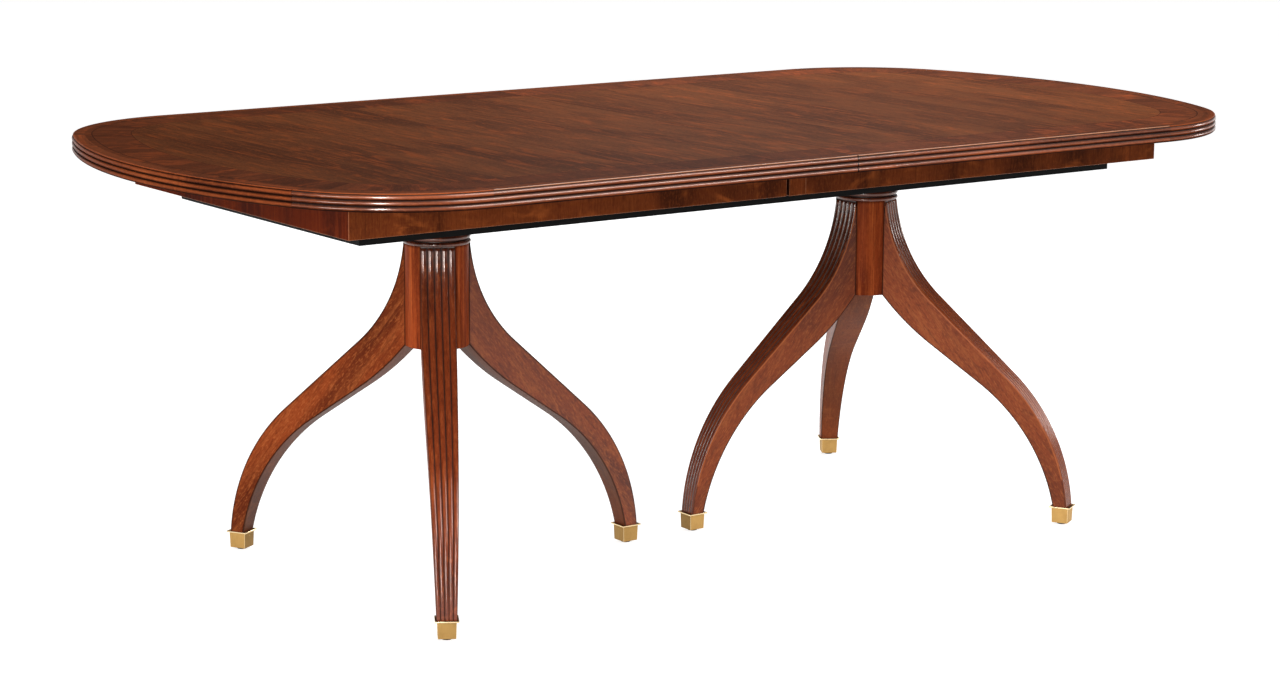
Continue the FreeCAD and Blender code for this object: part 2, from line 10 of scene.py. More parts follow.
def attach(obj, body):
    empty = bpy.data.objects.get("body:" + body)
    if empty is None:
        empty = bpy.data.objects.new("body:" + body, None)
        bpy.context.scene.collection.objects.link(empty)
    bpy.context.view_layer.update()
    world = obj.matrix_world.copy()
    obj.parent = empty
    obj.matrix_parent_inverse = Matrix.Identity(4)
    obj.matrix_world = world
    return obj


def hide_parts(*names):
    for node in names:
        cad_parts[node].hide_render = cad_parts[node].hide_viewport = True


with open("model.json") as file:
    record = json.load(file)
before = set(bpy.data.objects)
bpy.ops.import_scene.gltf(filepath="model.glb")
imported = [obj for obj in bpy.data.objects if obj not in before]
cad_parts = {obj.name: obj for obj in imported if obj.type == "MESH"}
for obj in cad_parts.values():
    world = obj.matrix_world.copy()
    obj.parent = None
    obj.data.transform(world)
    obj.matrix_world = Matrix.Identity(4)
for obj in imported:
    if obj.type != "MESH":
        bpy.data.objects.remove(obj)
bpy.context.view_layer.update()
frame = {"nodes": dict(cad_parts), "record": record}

nodes = frame["nodes"]
MM = 0.001
HALVES = {"right": 1, "left": -1}

# Sizes of the solids, in millimetres
TABLE_HEIGHT = 762.0
TOP_LENGTH = 2088.0
TOP_WIDTH = 1100.0
END_BOW_RADIUS = 984.0
CORNER_RADIUS = 277.0
SEAM_X = 0.4
VENEER_THICKNESS = 0.8
VENEER_BOTTOM = TABLE_HEIGHT - VENEER_THICKNESS
MOULDING_WIDTH = 22.0
REED_HEIGHT = 9.0
REED_DEPTH = 3.2
EDGE_REEDS = 3
FILLET_HEIGHT = 2.0
FILLET_SET_BACK = 2.0
TOP_UNDERSIDE = TABLE_HEIGHT - EDGE_REEDS * REED_HEIGHT - FILLET_HEIGHT
STRING_INSET = 33.0
STRING_WIDTH = 2.0
FIELD_INSET = 100.0
FIELD_LINE_WIDTH = 1.2
FRAME_BOTTOM = 649.0
PEDESTAL_X = 474.0
COLUMN_RADIUS = 55.0
COLUMN_TOP = 592.0
COLUMN_BOTTOM = 407.0
COLUMN_NECK_RADIUS = 50.0
RING_THICKNESS = 7.0
RING_CREST_RADIUS = COLUMN_RADIUS + RING_THICKNESS / 2
COLLAR_BOTTOM = 594.0
COLLAR_TOP = 603.0
CAPITAL_NECK_RADIUS = 44.0
FLANGE_BOTTOM = 631.0
FLANGE_RADIUS = 75.0
LEG_COUNT = 3
LEG_TURN = 360 / LEG_COUNT
LEG_TOP = COLUMN_TOP - RING_THICKNESS
LEG_REACH = 399.0
LEG_ROOT_RADIUS = 51.4
LEG_SEAT_RADIUS = 46.0
LEG_ROOT_WIDTH = 59.0
LEG_FOOT_WIDTH = 33.8
LEG_TAPER_POWER = 1.4
LEG_FOOT_DEPTH = 27.5
LEG_REEDS = 5
LEG_REED_RISE = 0.26
CUP_BOTTOM = 3.6
CUP_BOTTOM_WIDTH = 30.0
CUP_TOP_WIDTH = 31.8
CUP_LIP_BOTTOM = 31.6
CUP_LIP_TOP = 34.2
CUP_LIP_WIDTH = 39.6
LEG_ANGLES = {"inner": 180, "front": 180 + LEG_TURN, "back": 180 - LEG_TURN}
OPPOSITE = {"inner": "inner", "front": "back", "back": "front"}


# Meshes. Each face corner has a grain coordinate (along, across, depth). Each point has a painted light,
# which is painted shade above 0, in grooves, hollows, under parts and between them, and a painted highlight
# below 0, on edges and crests; on brass it also darkens crevices as tarnish. Each point also has a tone,
# which is dark below 0.
class Part(NamedTuple):
    points: list
    faces: list
    corners: list
    painted_light: list
    tone: list
    looks: list

    def moved(self, degrees=0, x=0):
        place = Matrix.Translation((x, 0, 0)) @ Matrix.Rotation(math.radians(degrees), 4, "Z")
        return self._replace(points=[place @ Vector(point) for point in self.points])


# Rows of (points, grain, painted light) joined by quads, with flat caps. looks has a list of finishes for
# each row.
def skin(rows, tone=0.0, looks=None):
    rings, grains, painted_lights = zip(*rows)
    count = len(rings[0])
    points = [point for ring in rings for point in ring]
    painted_light = [value for ring in painted_lights for value in ring]
    faces, corners, face_looks = [], [], []
    for i in range(len(rings) - 1):
        near, far = grains[i], grains[i + 1]
        for j in range(count):
            k = (j + 1) % count
            faces.append([i * count + j, i * count + k, (i + 1) * count + k, (i + 1) * count + j])
            corners.append([near[j], near[j + 1], far[j + 1], far[j]])
            face_looks.append(looks[i][j] if looks else 0)
    last = (len(rings) - 1) * count
    for start, grain in ((0, grains[0]), (last, grains[-1])):
        faces.append(list(range(start, start + count)))
        corners.append(grain[:count])
        face_looks.append(0)
    return Part(points, faces, corners, painted_light, [tone] * len(points), face_looks)


def new_object(name, data):
    item = bpy.data.objects.new(name, data)
    bpy.context.scene.collection.objects.link(item)
    return item


# Angles, in degrees, above which an edge is sharp
PLAIN_SMOOTH, MOULDING_SMOOTH, LEG_SMOOTH, CUP_SMOOTH, PIN_SMOOTH = 38, 50, 32, 30, 40


def new_piece(name, parts, smooth_degrees=PLAIN_SMOOTH):
    points, faces = [], []
    for part in parts:
        start = len(points)
        points += [Vector(point) * MM for point in part.points]
        faces += [[start + index for index in face] for face in part.faces]
    mesh = bpy.data.meshes.new(name)
    mesh.from_pydata(points, [], faces)
    grain = [value * MM for part in parts for face in part.corners for corner in face for value in corner]
    mesh.attributes.new("grain", "FLOAT_VECTOR", "CORNER").data.foreach_set("vector", grain)
    painted_light = [value for part in parts for value in part.painted_light]
    mesh.attributes.new("painted_light", "FLOAT", "POINT").data.foreach_set("value", painted_light)
    tone = [value for part in parts for value in part.tone]
    mesh.attributes.new("tone", "FLOAT", "POINT").data.foreach_set("value", tone)
    mesh.polygons.foreach_set("material_index", [look for part in parts for look in part.looks])
    shape = bmesh.new()
    shape.from_mesh(mesh)
    bmesh.ops.recalc_face_normals(shape, faces=shape.faces)
    shape.to_mesh(mesh)
    shape.free()
    mesh.shade_smooth()
    mesh.set_sharp_from_angle(angle=math.radians(smooth_degrees))
    return new_object(name, mesh)


def dress(piece, body, materials, node=None):
    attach(piece, body)
    if node:
        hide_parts(node)
    for material in materials:
        piece.data.materials.append(material)


# Shaders. Noise scales are per metre, first along the grain and then across it.
BROAD_SCALE = (2.0, 8)
FIBRE_SCALE = (18, 420)
PORE_SCALE = (90, 1400)
SPECKLE_SCALE = (110, 330)
PLAIN_RIBBON_SCALE = (3, 40)
PLAIN_FIBRE_SCALE = (18, 600)
LEAF_JUMP = (3.0, 3.0, 3.0)
BUMP_DEPTH = 0.0003
METAL_BUMP_DEPTH = 0.0002
# Half widths of the dark line beside the seam, in metres
SEAM_LINE = (0.0042, 0.0034)
SEAM_DARK = 0.92
PAINTED_SHADE_SHARE = 0.88
PAINTED_HIGHLIGHT_SHARE = 0.6
GROOVE_ROUGHNESS = 0.35
TONE_STRENGTH = 0.5


# Clears the node tree of a material or world and gives the calls that add nodes and links to it
def empty_tree(owner):
    owner.use_nodes = True
    tree = owner.node_tree
    tree.nodes.clear()
    return tree.nodes.new, tree.links.new


class Shader:
    def __init__(self, name, from_object):
        self.material = bpy.data.materials.new(name)
        self.add, self.link = empty_tree(self.material)
        output = self.add("ShaderNodeOutputMaterial")
        self.surface = self.add("ShaderNodeBsdfPrincipled")
        self.link(self.surface.outputs[0], output.inputs["Surface"])
        if from_object:
            self.place = self.add("ShaderNodeTexCoord").outputs["Object"]
        else:
            self.place = self.attribute("grain").outputs["Vector"]
        self.painted_light = self.attribute("painted_light").outputs["Fac"]
        self.tone = self.attribute("tone").outputs["Fac"]

    def attribute(self, name):
        node = self.add("ShaderNodeAttribute")
        node.attribute_name = name
        return node

    def put(self, node, key, value):
        socket = node.inputs[key]
        if isinstance(value, bpy.types.NodeSocket):
            self.link(value, socket)
        else:
            socket.default_value = value

    # Sockets by name, with a low line for each space
    def fill(self, node, **values):
        for key, value in values.items():
            self.put(node, key.replace("_", " "), value)
        return node

    def noise(self, scale, detail=3.0, roughness=0.55, distortion=0.0, place=None):
        mapping = self.fill(self.add("ShaderNodeMapping"), Vector=place or self.place, Scale=scale)
        node = self.fill(self.add("ShaderNodeTexNoise"), Vector=mapping.outputs["Vector"], Scale=1.0,
                         Detail=detail, Roughness=roughness, Distortion=distortion)
        return node.outputs["Fac"]

    def ramp(self, value, low, high, to_low=0.0, to_high=1.0):
        node = self.add("ShaderNodeMapRange")
        node.interpolation_type = "SMOOTHSTEP"
        self.fill(node, Value=value, From_Min=low, From_Max=high, To_Min=to_low, To_Max=to_high)
        return node.outputs["Result"]

    def math(self, operation, a, b=0.0):
        node = self.add("ShaderNodeMath")
        node.operation = operation
        self.put(node, 0, a)
        self.put(node, 1, b)
        return node.outputs[0]

    def mix(self, share, a, b):
        node = self.add("ShaderNodeMix")
        node.data_type = "RGBA"
        self.put(node, 0, share)
        self.put(node, 6, a)
        self.put(node, 7, b)
        return node.outputs[2]

    # A colour that turns to a tone by a share, as a value goes from one limit to the other
    def layer(self, colour, value, start, full, share, tone):
        return self.mix(self.ramp(value, start, full, 0, share), colour, tone)

    def brighten(self, colour, factor):
        node = self.add("ShaderNodeVectorMath")
        node.operation = "SCALE"
        self.put(node, 0, colour)
        self.put(node, "Scale", factor)
        return node.outputs[0]

    def bump(self, height, strength, distance=BUMP_DEPTH):
        node = self.fill(self.add("ShaderNodeBump"), Height=height, Strength=strength, Distance=distance)
        return node.outputs["Normal"]

    def place_x(self):
        return self.fill(self.add("ShaderNodeSeparateXYZ"), Vector=self.place).outputs[0]

    # Leaves of veneer: each strip along X starts at another place in the figure
    def leaves(self, width):
        count = self.math("FLOOR", self.math("DIVIDE", self.place_x(), width))
        shade = self.add("ShaderNodeTexWhiteNoise")
        shade.noise_dimensions = "1D"
        self.put(shade, "W", count)
        jump = self.add("ShaderNodeVectorMath")
        jump.operation = "MULTIPLY_ADD"
        self.put(jump, 0, shade.outputs["Color"])
        self.put(jump, 1, LEAF_JUMP)
        self.put(jump, 2, self.place)
        return jump.outputs[0], shade.outputs["Value"]

    def finish(self, colour, roughness, normal, **constants):
        self.fill(self.surface, Base_Color=colour, Roughness=roughness, Normal=normal, **constants)
        return self.material


def rgb(red, green, blue):
    def linear(value):
        value /= 255
        return value / 12.92 if value <= 0.04045 else ((value + 0.055) / 1.055) ** 2.4

    return (linear(red), linear(green), linear(blue), 1.0)


# A noise scale for each axis, with the grain along one of them
def grain_scale(axis, scale):
    along, across = scale
    return [along if index == axis else across for index in range(3)]


# Lacquered mahogany. tones: dark, middle, bright and pore colours. painted_light_slope: brightness from one X
# to another, painted light.
def mahogany(name, tones, axis=0, from_object=False, leaf=None, figure=0.6, ribbon_scale=(4.5, 60),
             blotch=0.4, mottle_scale=(34, 15), fleck=0.25, dark_seam=False, relief=0.1, specular=0.03,
             roughness=0.38, coat=0.0, coat_roughness=0.1, tint=(1, 1, 1, 1), painted_light_slope=None):
    s = Shader(name, from_object)
    dark, middle, bright, pore = (rgb(*tone) for tone in tones)
    place, leaf_shade = s.leaves(leaf) if leaf else (s.place, None)
    broad = s.noise(grain_scale(axis, BROAD_SCALE), 2.0, distortion=0.6, place=place)
    ribbon = s.noise(grain_scale(axis, ribbon_scale), 4.0, 0.6, 0.4, place)
    mottle = s.noise(grain_scale(axis, mottle_scale), 3.0, 0.6, 0.9, place)
    fibre = s.noise(grain_scale(axis, FIBRE_SCALE), 4.0, 0.7, place=place)
    pores = s.noise(grain_scale(axis, PORE_SCALE), 2.0, 0.5, place=place)
    speckle = s.noise(grain_scale(axis, SPECKLE_SCALE), 3.0, 0.65, place=place)
    colour = s.mix(s.ramp(broad, 0.3, 0.62), dark, middle)
    layers = [
        (ribbon, 0.5, 0.74, figure, bright), (ribbon, 0.46, 0.26, figure, dark),
        (mottle, 0.52, 0.74, blotch, bright), (mottle, 0.44, 0.28, blotch * 0.7, dark),
        (speckle, 0.5, 0.68, fleck, bright), (speckle, 0.46, 0.3, fleck, dark),
        (fibre, 0.5, 0.3, 0.4, pore), (pores, 0.38, 0.28, 0.5, pore),
    ]
    if leaf:
        layers.append((leaf_shade, 0.2, 1.0, 0.3, dark))
    for layer in layers:
        colour = s.layer(colour, *layer)
    colour = s.brighten(colour, s.math("ADD", 1.0, s.math("MULTIPLY", s.tone, TONE_STRENGTH)))
    if painted_light_slope:
        colour = s.brighten(colour, s.ramp(s.place_x(), *painted_light_slope))
    if dark_seam:
        colour = s.layer(colour, s.math("ABSOLUTE", s.place_x()), *SEAM_LINE, SEAM_DARK, pore)
    # Painted shade towards the pore colour above 0, and a painted highlight towards the bright colour below 0
    colour = s.layer(colour, s.painted_light, 0.0, 1.0, PAINTED_SHADE_SHARE, pore)
    colour = s.layer(colour, s.painted_light, 0.0, -1.0, PAINTED_HIGHLIGHT_SHARE, bright)
    rough = s.math("ADD", s.ramp(broad, 0.3, 0.7, roughness - 0.04, roughness + 0.05),
                   s.ramp(pores, 0.38, 0.28, 0, 0.15))
    rough = s.math("ADD", rough, s.ramp(s.painted_light, 0.0, 1.0, 0, GROOVE_ROUGHNESS))
    height = s.math("SUBTRACT", s.math("MULTIPLY", fibre, 0.4), s.ramp(pores, 0.38, 0.28))
    normal = s.bump(height, relief)
    return s.finish(colour, rough, normal, Specular_IOR_Level=specular, Specular_Tint=tint,
                    Coat_Weight=coat, Coat_Roughness=coat_roughness)


def plain_wood(name, tones, axis, roughness):
    s = Shader(name, True)
    dark, pale, pore = (rgb(*tone) for tone in tones)
    ribbon = s.noise(grain_scale(axis, PLAIN_RIBBON_SCALE), 4.0, distortion=0.4)
    fibre = s.noise(grain_scale(axis, PLAIN_FIBRE_SCALE), 3.0, 0.65)
    colour = s.mix(s.ramp(ribbon, 0.35, 0.65), dark, pale)
    colour = s.layer(colour, fibre, 0.5, 0.3, 0.5, pore)
    rough = s.math("ADD", roughness, s.math("MULTIPLY", fibre, 0.15))
    return s.finish(colour, rough, s.bump(fibre, 0.2), Specular_IOR_Level=0.2)


def black_paint(name):
    s = Shader(name, True)
    brush = s.noise((12, 260, 260))
    paint_wear_and_cup_shade = s.noise((30, 30, 30), 4.0, 0.65)
    colour = s.mix(s.ramp(brush, 0.3, 0.7), rgb(11, 11, 11), rgb(21, 20, 19))
    colour = s.layer(colour, paint_wear_and_cup_shade, 0.66, 0.8, 0.5, rgb(38, 32, 27))
    rough = s.math("ADD", 0.4, s.math("MULTIPLY", paint_wear_and_cup_shade, 0.2))
    return s.finish(colour, rough, s.bump(brush, 0.15), Specular_IOR_Level=0.06)


def metal(name, tone, darker, roughness, from_object):
    s = Shader(name, from_object)
    cloud = s.noise((55, 55, 55), 4.0, 0.6)
    lines = s.noise((40, 900, 900), 2.0)
    colour = s.layer(tone, cloud, 0.4, 0.75, 0.4, darker)
    colour = s.layer(colour, lines, 0.45, 0.7, 0.3, darker)
    # Darker brown where painted light is above 0: painted shade under and on the cup lips and on the cups'
    # shaded faces, and tarnish in crevices
    colour = s.layer(colour, s.painted_light, 0.0, 1.0, 0.85, rgb(70, 48, 24))
    rough = s.math("ADD", roughness, s.math("MULTIPLY", cloud, 0.12))
    return s.finish(colour, rough, s.bump(lines, 0.12, METAL_BUMP_DEPTH), Metallic=1.0)


def dark_plastic(name):
    s = Shader(name, True)
    grit = s.noise((900, 900, 900), 2.0)
    cloud = s.noise((60, 60, 60))
    colour = s.mix(s.ramp(cloud, 0.35, 0.7), rgb(20, 18, 17), rgb(36, 33, 31))
    rough = s.math("ADD", 0.5, s.math("MULTIPLY", grit, 0.2))
    return s.finish(colour, rough, s.bump(grit, 0.25), Specular_IOR_Level=0.04)


# Dark, middle, bright and pore colours
SIDE_TONES = ((92, 37, 18), (150, 68, 32), (184, 100, 52), (34, 14, 8))
UNDER_TONES = ((106, 43, 21), (172, 79, 37), (208, 115, 60), (40, 17, 10))
SHAFT_TONES = ((86, 30, 14), (148, 62, 27), (182, 88, 42), (30, 11, 6))
REED_TONES = ((70, 26, 13), (118, 49, 23), (158, 78, 40), (18, 7, 4))
EDGE_TONES = ((68, 31, 19), (124, 60, 32), (170, 86, 44), (18, 8, 6))
APRON_TONES = ((70, 31, 15), (118, 56, 26), (160, 82, 38), (34, 14, 8))
RUBBED_TONES = ((130, 70, 38), (160, 96, 60), (190, 128, 88), (70, 34, 20))
# Paler colours of the top arris: a painted highlight
ARRIS_HIGHLIGHT_TONES = ((130, 77, 51), (166, 108, 78), (206, 154, 121), (84, 44, 28))
FIELD_TONES = ((80, 44, 26), (106, 60, 34), (160, 78, 36), (44, 23, 14))
BAND_TONES = ((78, 41, 25), (106, 56, 33), (160, 76, 38), (40, 20, 13))
STRING_TONES = ((50, 26, 16), (64, 33, 20), (80, 42, 25), (32, 16, 10))
# Darker, redder copy of the apron colours for the end aprons: its darkness is painted shade
SHADED_END_APRON_TONES = ((64, 19, 6), (98, 34, 11), (126, 50, 18), (28, 10, 5))
# Dark, pale and pore colours
CORE_TONES = ((70, 42, 26), (104, 66, 41), (44, 26, 17))
SLIDE_TONES = ((160, 122, 76), (196, 158, 108), (120, 86, 50))

WARM_SHEEN = (1.0, 0.84, 0.77, 1)
OLIVE_SHEEN = (0.9, 0.95, 0.7, 1)
# Brightness of the field from its left end to its right end, darker at the left and lighter at the right:
# painted light
FIELD_PAINTED_LIGHT = (-1.1, 1.1, 0.77, 1.2)
# What several woods share
SATIN_FIGURE = dict(figure=0.5, blotch=0.6, mottle_scale=(20, 50), fleck=0.6)
REED_FIGURE = dict(figure=0.75, ribbon_scale=(8, 150), blotch=0.2)
TOP_FINISH = dict(specular=0.0, coat=0.04, coat_roughness=0.5)
UPRIGHT = dict(axis=2, from_object=True)

side_wood = mahogany("mahogany_sides", SIDE_TONES, figure=0.4, blotch=0.3, mottle_scale=(14, 40), fleck=0.5)
satin_side_wood = mahogany("mahogany_satin_sides", SIDE_TONES, **SATIN_FIGURE, specular=0.28, roughness=0.42,
                           tint=WARM_SHEEN)
sheen_side_wood = mahogany("mahogany_sheen_sides", SIDE_TONES, **SATIN_FIGURE, specular=0.42, roughness=0.46)
shaft_wood = mahogany("mahogany_shafts", SHAFT_TONES, figure=1.0, ribbon_scale=(3, 150), blotch=0.6,
                      mottle_scale=(4, 90))
under_wood = mahogany("mahogany_undersides", UNDER_TONES, figure=0.4, specular=0.3, tint=OLIVE_SHEEN)
reed_wood = mahogany("mahogany_reeds", REED_TONES, **REED_FIGURE, relief=0.005, specular=0.8, roughness=0.13,
                     coat=0.15, coat_roughness=0.08, tint=WARM_SHEEN)
satin_reed_wood = mahogany("mahogany_satin_reeds", REED_TONES, **REED_FIGURE, relief=0.02, specular=0.55,
                           roughness=0.18, coat=0.1, tint=WARM_SHEEN)
# Reeds in the lighter side colours: a painted highlight on the front right leg's reeds
highlight_reed_wood = mahogany("mahogany_light_reeds", SIDE_TONES, ribbon_scale=(8, 150), blotch=0.2,
                           relief=0.005, specular=0.8, roughness=0.18, tint=WARM_SHEEN)
# Finishes of a leg by number: sides, upper reeds, underside and lower reeds
LEG_SIDE, LEG_REED, LEG_UNDER, LEG_LOW_REED = range(4)
LEG_WOODS = [side_wood, reed_wood, under_wood, satin_reed_wood]
SATIN_LEG_WOODS = [satin_side_wood, reed_wood, under_wood, satin_reed_wood]
SHEEN_LEG_WOODS = [sheen_side_wood, reed_wood, under_wood, satin_reed_wood]
# The front right leg, whose reeds take the lighter copy, a painted highlight
HIGHLIGHT_LEG_WOODS = [satin_side_wood, highlight_reed_wood, under_wood, highlight_reed_wood]
# Finishes of a turned piece by number: plain and polished
TURNED_PLAIN, TURNED_POLISHED = range(2)
COLUMN_WOODS = [shaft_wood, reed_wood]
CAPITAL_WOODS = [side_wood, reed_wood]
edge_wood = mahogany("mahogany_edge", BAND_TONES, figure=0.5, **TOP_FINISH)
edge_reed_wood = mahogany("mahogany_edge_reeds", EDGE_TONES, blotch=0.2, relief=0.02, specular=1.0,
                          roughness=0.2, coat=0.3, coat_roughness=0.14, tint=WARM_SHEEN)
end_reed_wood = mahogany("mahogany_end_reeds", EDGE_TONES, blotch=0.2, relief=0.04, specular=0.02,
                         roughness=0.26, tint=WARM_SHEEN)
matt_reed_wood = mahogany("mahogany_matt_reeds", EDGE_TONES, blotch=0.2, relief=0.04, specular=0.01)
# The top arris in paler colours: a painted highlight
arris_highlight_wood = mahogany("mahogany_arris_painted_highlight", ARRIS_HIGHLIGHT_TONES, figure=0.4, blotch=0.2, specular=0.05)
# Finishes of a moulding by number: flats, glossy reeds, satin reeds, matt flanks and an arris in paler
# colours, a painted highlight
EDGE_FLAT, EDGE_GLOSS, EDGE_SATIN, EDGE_MATT, EDGE_ARRIS = range(5)
EDGE_WOODS = [edge_wood, edge_reed_wood, end_reed_wood, matt_reed_wood, arris_highlight_wood]
field_wood = mahogany("mahogany_field", FIELD_TONES, axis=1, from_object=True, leaf=0.19, figure=0.5,
                      ribbon_scale=(9, 140), blotch=0.45, mottle_scale=(10, 42), painted_light_slope=FIELD_PAINTED_LIGHT,
                      **TOP_FINISH)
band_wood = mahogany("mahogany_crossband", BAND_TONES, axis=1, leaf=0.17, figure=0.4, ribbon_scale=(9, 80),
                     blotch=0.7, mottle_scale=(14, 22), **TOP_FINISH)
string_wood = mahogany("dark_string", STRING_TONES, figure=0.4, **TOP_FINISH)
apron_wood = mahogany("mahogany_apron", APRON_TONES, **UPRIGHT, figure=0.3, ribbon_scale=(5, 45), blotch=0.8,
                      mottle_scale=(26, 12), dark_seam=True, specular=0.02)
block_wood = mahogany("mahogany_seam_block", APRON_TONES, **UPRIGHT, figure=0.8, ribbon_scale=(9, 220),
                      blotch=0.3, dark_seam=True, specular=0.02)
shaded_end_apron_wood = mahogany("mahogany_end_apron_painted_shade", SHADED_END_APRON_TONES, **UPRIGHT, ribbon_scale=(5, 120),
                          mottle_scale=(26, 12), specular=0.01)
rubbed_wood = mahogany("mahogany_rubbed_edges", RUBBED_TONES, **UPRIGHT, figure=0.3, specular=0.1)
underside_wood = plain_wood("core_underside", CORE_TONES, 1, 0.5)
slide_wood = plain_wood("waxed_slide_wood", SLIDE_TONES, 0, 0.42)
painted_black = black_paint("black_paint")
cup_brass = metal("satin_brass_cups", rgb(194, 156, 94), rgb(170, 132, 76), 0.55, False)
lip_brass = metal("polished_brass_lips", rgb(248, 222, 176), rgb(222, 186, 128), 0.2, False)
brass = metal("satin_brass_fittings", rgb(206, 166, 100), rgb(160, 122, 66), 0.3, True)
steel = metal("zinc_steel", rgb(186, 186, 182), rgb(128, 126, 120), 0.3, True)
plastic = dark_plastic("glide_plastic")


# Outline of the right half of the top: straight front, corner, bowed end, corner, straight back
CORNER_Y = TOP_WIDTH / 2 - CORNER_RADIUS
END_X = TOP_LENGTH / 2 - END_BOW_RADIUS
CENTRE_GAP = END_BOW_RADIUS - CORNER_RADIUS
CORNER_X = END_X + math.sqrt(CENTRE_GAP ** 2 - CORNER_Y ** 2)
CORNER_DEGREES = math.degrees(math.asin(CORNER_Y / CENTRE_GAP))
STRAIGHT_STEPS = 12
CORNER_STEPS = 40
END_STEPS = 48


def angles(start, end, steps):
    return [math.radians(start + (end - start) * i / steps) for i in range(steps + 1)]


def straight_run(x0, x1, side):
    xs = [x0 + (x1 - x0) * i / STRAIGHT_STEPS for i in range(STRAIGHT_STEPS + 1)]
    return [(Vector((x, side * TOP_WIDTH / 2, 0)), Vector((0, side, 0))) for x in xs]


def arc_run(x, y, radius, start, end, steps):
    run = []
    for angle in angles(start, end, steps):
        out = Vector((math.cos(angle), math.sin(angle), 0))
        run.append((Vector((x, y, 0)) + out * radius, out))
    return run


RUNS = {
    "front": straight_run(SEAM_X, CORNER_X, -1),
    "front_corner": arc_run(CORNER_X, -CORNER_Y, CORNER_RADIUS, -90, -CORNER_DEGREES, CORNER_STEPS),
    "end": arc_run(END_X, 0, END_BOW_RADIUS, -CORNER_DEGREES, CORNER_DEGREES, END_STEPS),
    "back_corner": arc_run(CORNER_X, CORNER_Y, CORNER_RADIUS, CORNER_DEGREES, 90, CORNER_STEPS),
    "back": straight_run(CORNER_X, SEAM_X, 1),
}


def whole_outline():
    path = RUNS["front"][:1]
    for run in RUNS.values():
        path += run[1:]
    return path


# A run with extra stations close to both ends, for the dark line of a joint
JOINT_LINE = (0.7, 1.4)


def lined(run):
    def stations(first, second):
        gap = (second[0] - first[0]).length
        shares = [step / gap for step in JOINT_LINE]
        return [(first[0].lerp(second[0], share), first[1].lerp(second[1], share)) for share in shares]

    return run[:1] + stations(run[0], run[1]) + run[1:-1] + stations(run[-1], run[-2])[::-1] + run[-1:]


# A section of (inset, height, painted light, look) points carried along a run, with a dark joint line for its
# two ends and pairs of a look and the look that takes its place
def sweep(section, run, seed, tone=0.0, ends=(0, 0), other_looks=()):
    reach = [0.0]
    for a, b in zip(section, section[1:] + section[:1]):
        reach.append(reach[-1] + math.hypot(b[0] - a[0], b[1] - a[1]))
    rows = []
    along = 0.0
    for index, (place, out) in enumerate(run):
        if index:
            along += (place - run[index - 1][0]).length
        ring = [place - out * inset + Vector((0, 0, z)) for inset, z, _, _ in section]
        grain = [(along, across, seed) for across in reach]
        line = ends[0] if index < 2 else ends[1] if index >= len(run) - 2 else -1
        rows.append((ring, grain, [max(painted_light, line) for _, _, painted_light, _ in section]))
    others = dict(other_looks)
    looks = [others.get(look, look) for _, _, _, look in section]
    return skin(rows, tone, [looks] * len(rows))


EDGE_REED_STEPS = 12
# The rounded top arris: (inset, drop, painted light), below 0 for a painted highlight along it
ARRIS_REACH = 2.2
TOP_ARRIS = ((0, 1.1, -0.3), (0.12, 0.45, -0.9), (0.45, 0.12, -1.0), (1.1, 0, -0.5))
# Shares of a reed's half height: its crest is glossy and paler with a painted highlight, its grooves darker
# with painted shade, and its lower flank matt, with painted shade that starts nearer the crest
REED_SHADE_START = 0.45
REED_SHADE_START_BELOW = 0.2
REED_SHADE_SLOPE = 3.4
REED_CREST_HIGHLIGHT = -0.4
GLOSS_FROM = -0.1


# Radius of a reed's arc and half the angle that it spans
def reed_arc(width, rise):
    radius = ((width / 2) ** 2 + rise ** 2) / (2 * rise)
    return radius, math.asin(width / 2 / radius)


def moulding_section():
    section = [(MOULDING_WIDTH, TOP_UNDERSIDE, 0, EDGE_FLAT)]
    # Painted shade on the underside next to the reeds
    section.append((REED_DEPTH + 1, TOP_UNDERSIDE, 0.4, EDGE_FLAT))
    radius, half_sweep = reed_arc(REED_HEIGHT, REED_DEPTH)
    for reed in range(EDGE_REEDS):
        middle = TOP_UNDERSIDE + (reed + 0.5) * REED_HEIGHT
        for i in range(1 if reed else 0, EDGE_REED_STEPS + 1):
            share = i / EDGE_REED_STEPS * 2 - 1
            angle = share * half_sweep
            start = REED_SHADE_START if share > 0 else REED_SHADE_START_BELOW
            painted_light = min(1, (abs(share) - start) * REED_SHADE_SLOPE)
            painted_light = painted_light if painted_light > 0 else REED_CREST_HIGHLIGHT if share >= 0 else 0
            look = EDGE_GLOSS if share > GLOSS_FROM else EDGE_MATT
            inset = radius - radius * math.cos(angle)
            section.append((inset, middle + radius * math.sin(angle), painted_light, look))
    # Painted shade on the fillet under the top arris
    section.append((FILLET_SET_BACK + 0.1, TABLE_HEIGHT - FILLET_HEIGHT + 0.05, 0.8, EDGE_MATT))
    for inset, drop, painted_light in TOP_ARRIS:
        section.append((FILLET_SET_BACK + inset, TABLE_HEIGHT - drop, painted_light, EDGE_ARRIS))
    section.append((FILLET_SET_BACK + ARRIS_REACH, TABLE_HEIGHT, 0, EDGE_FLAT))
    section.append((MOULDING_WIDTH, TABLE_HEIGHT, 0, EDGE_FLAT))
    return section


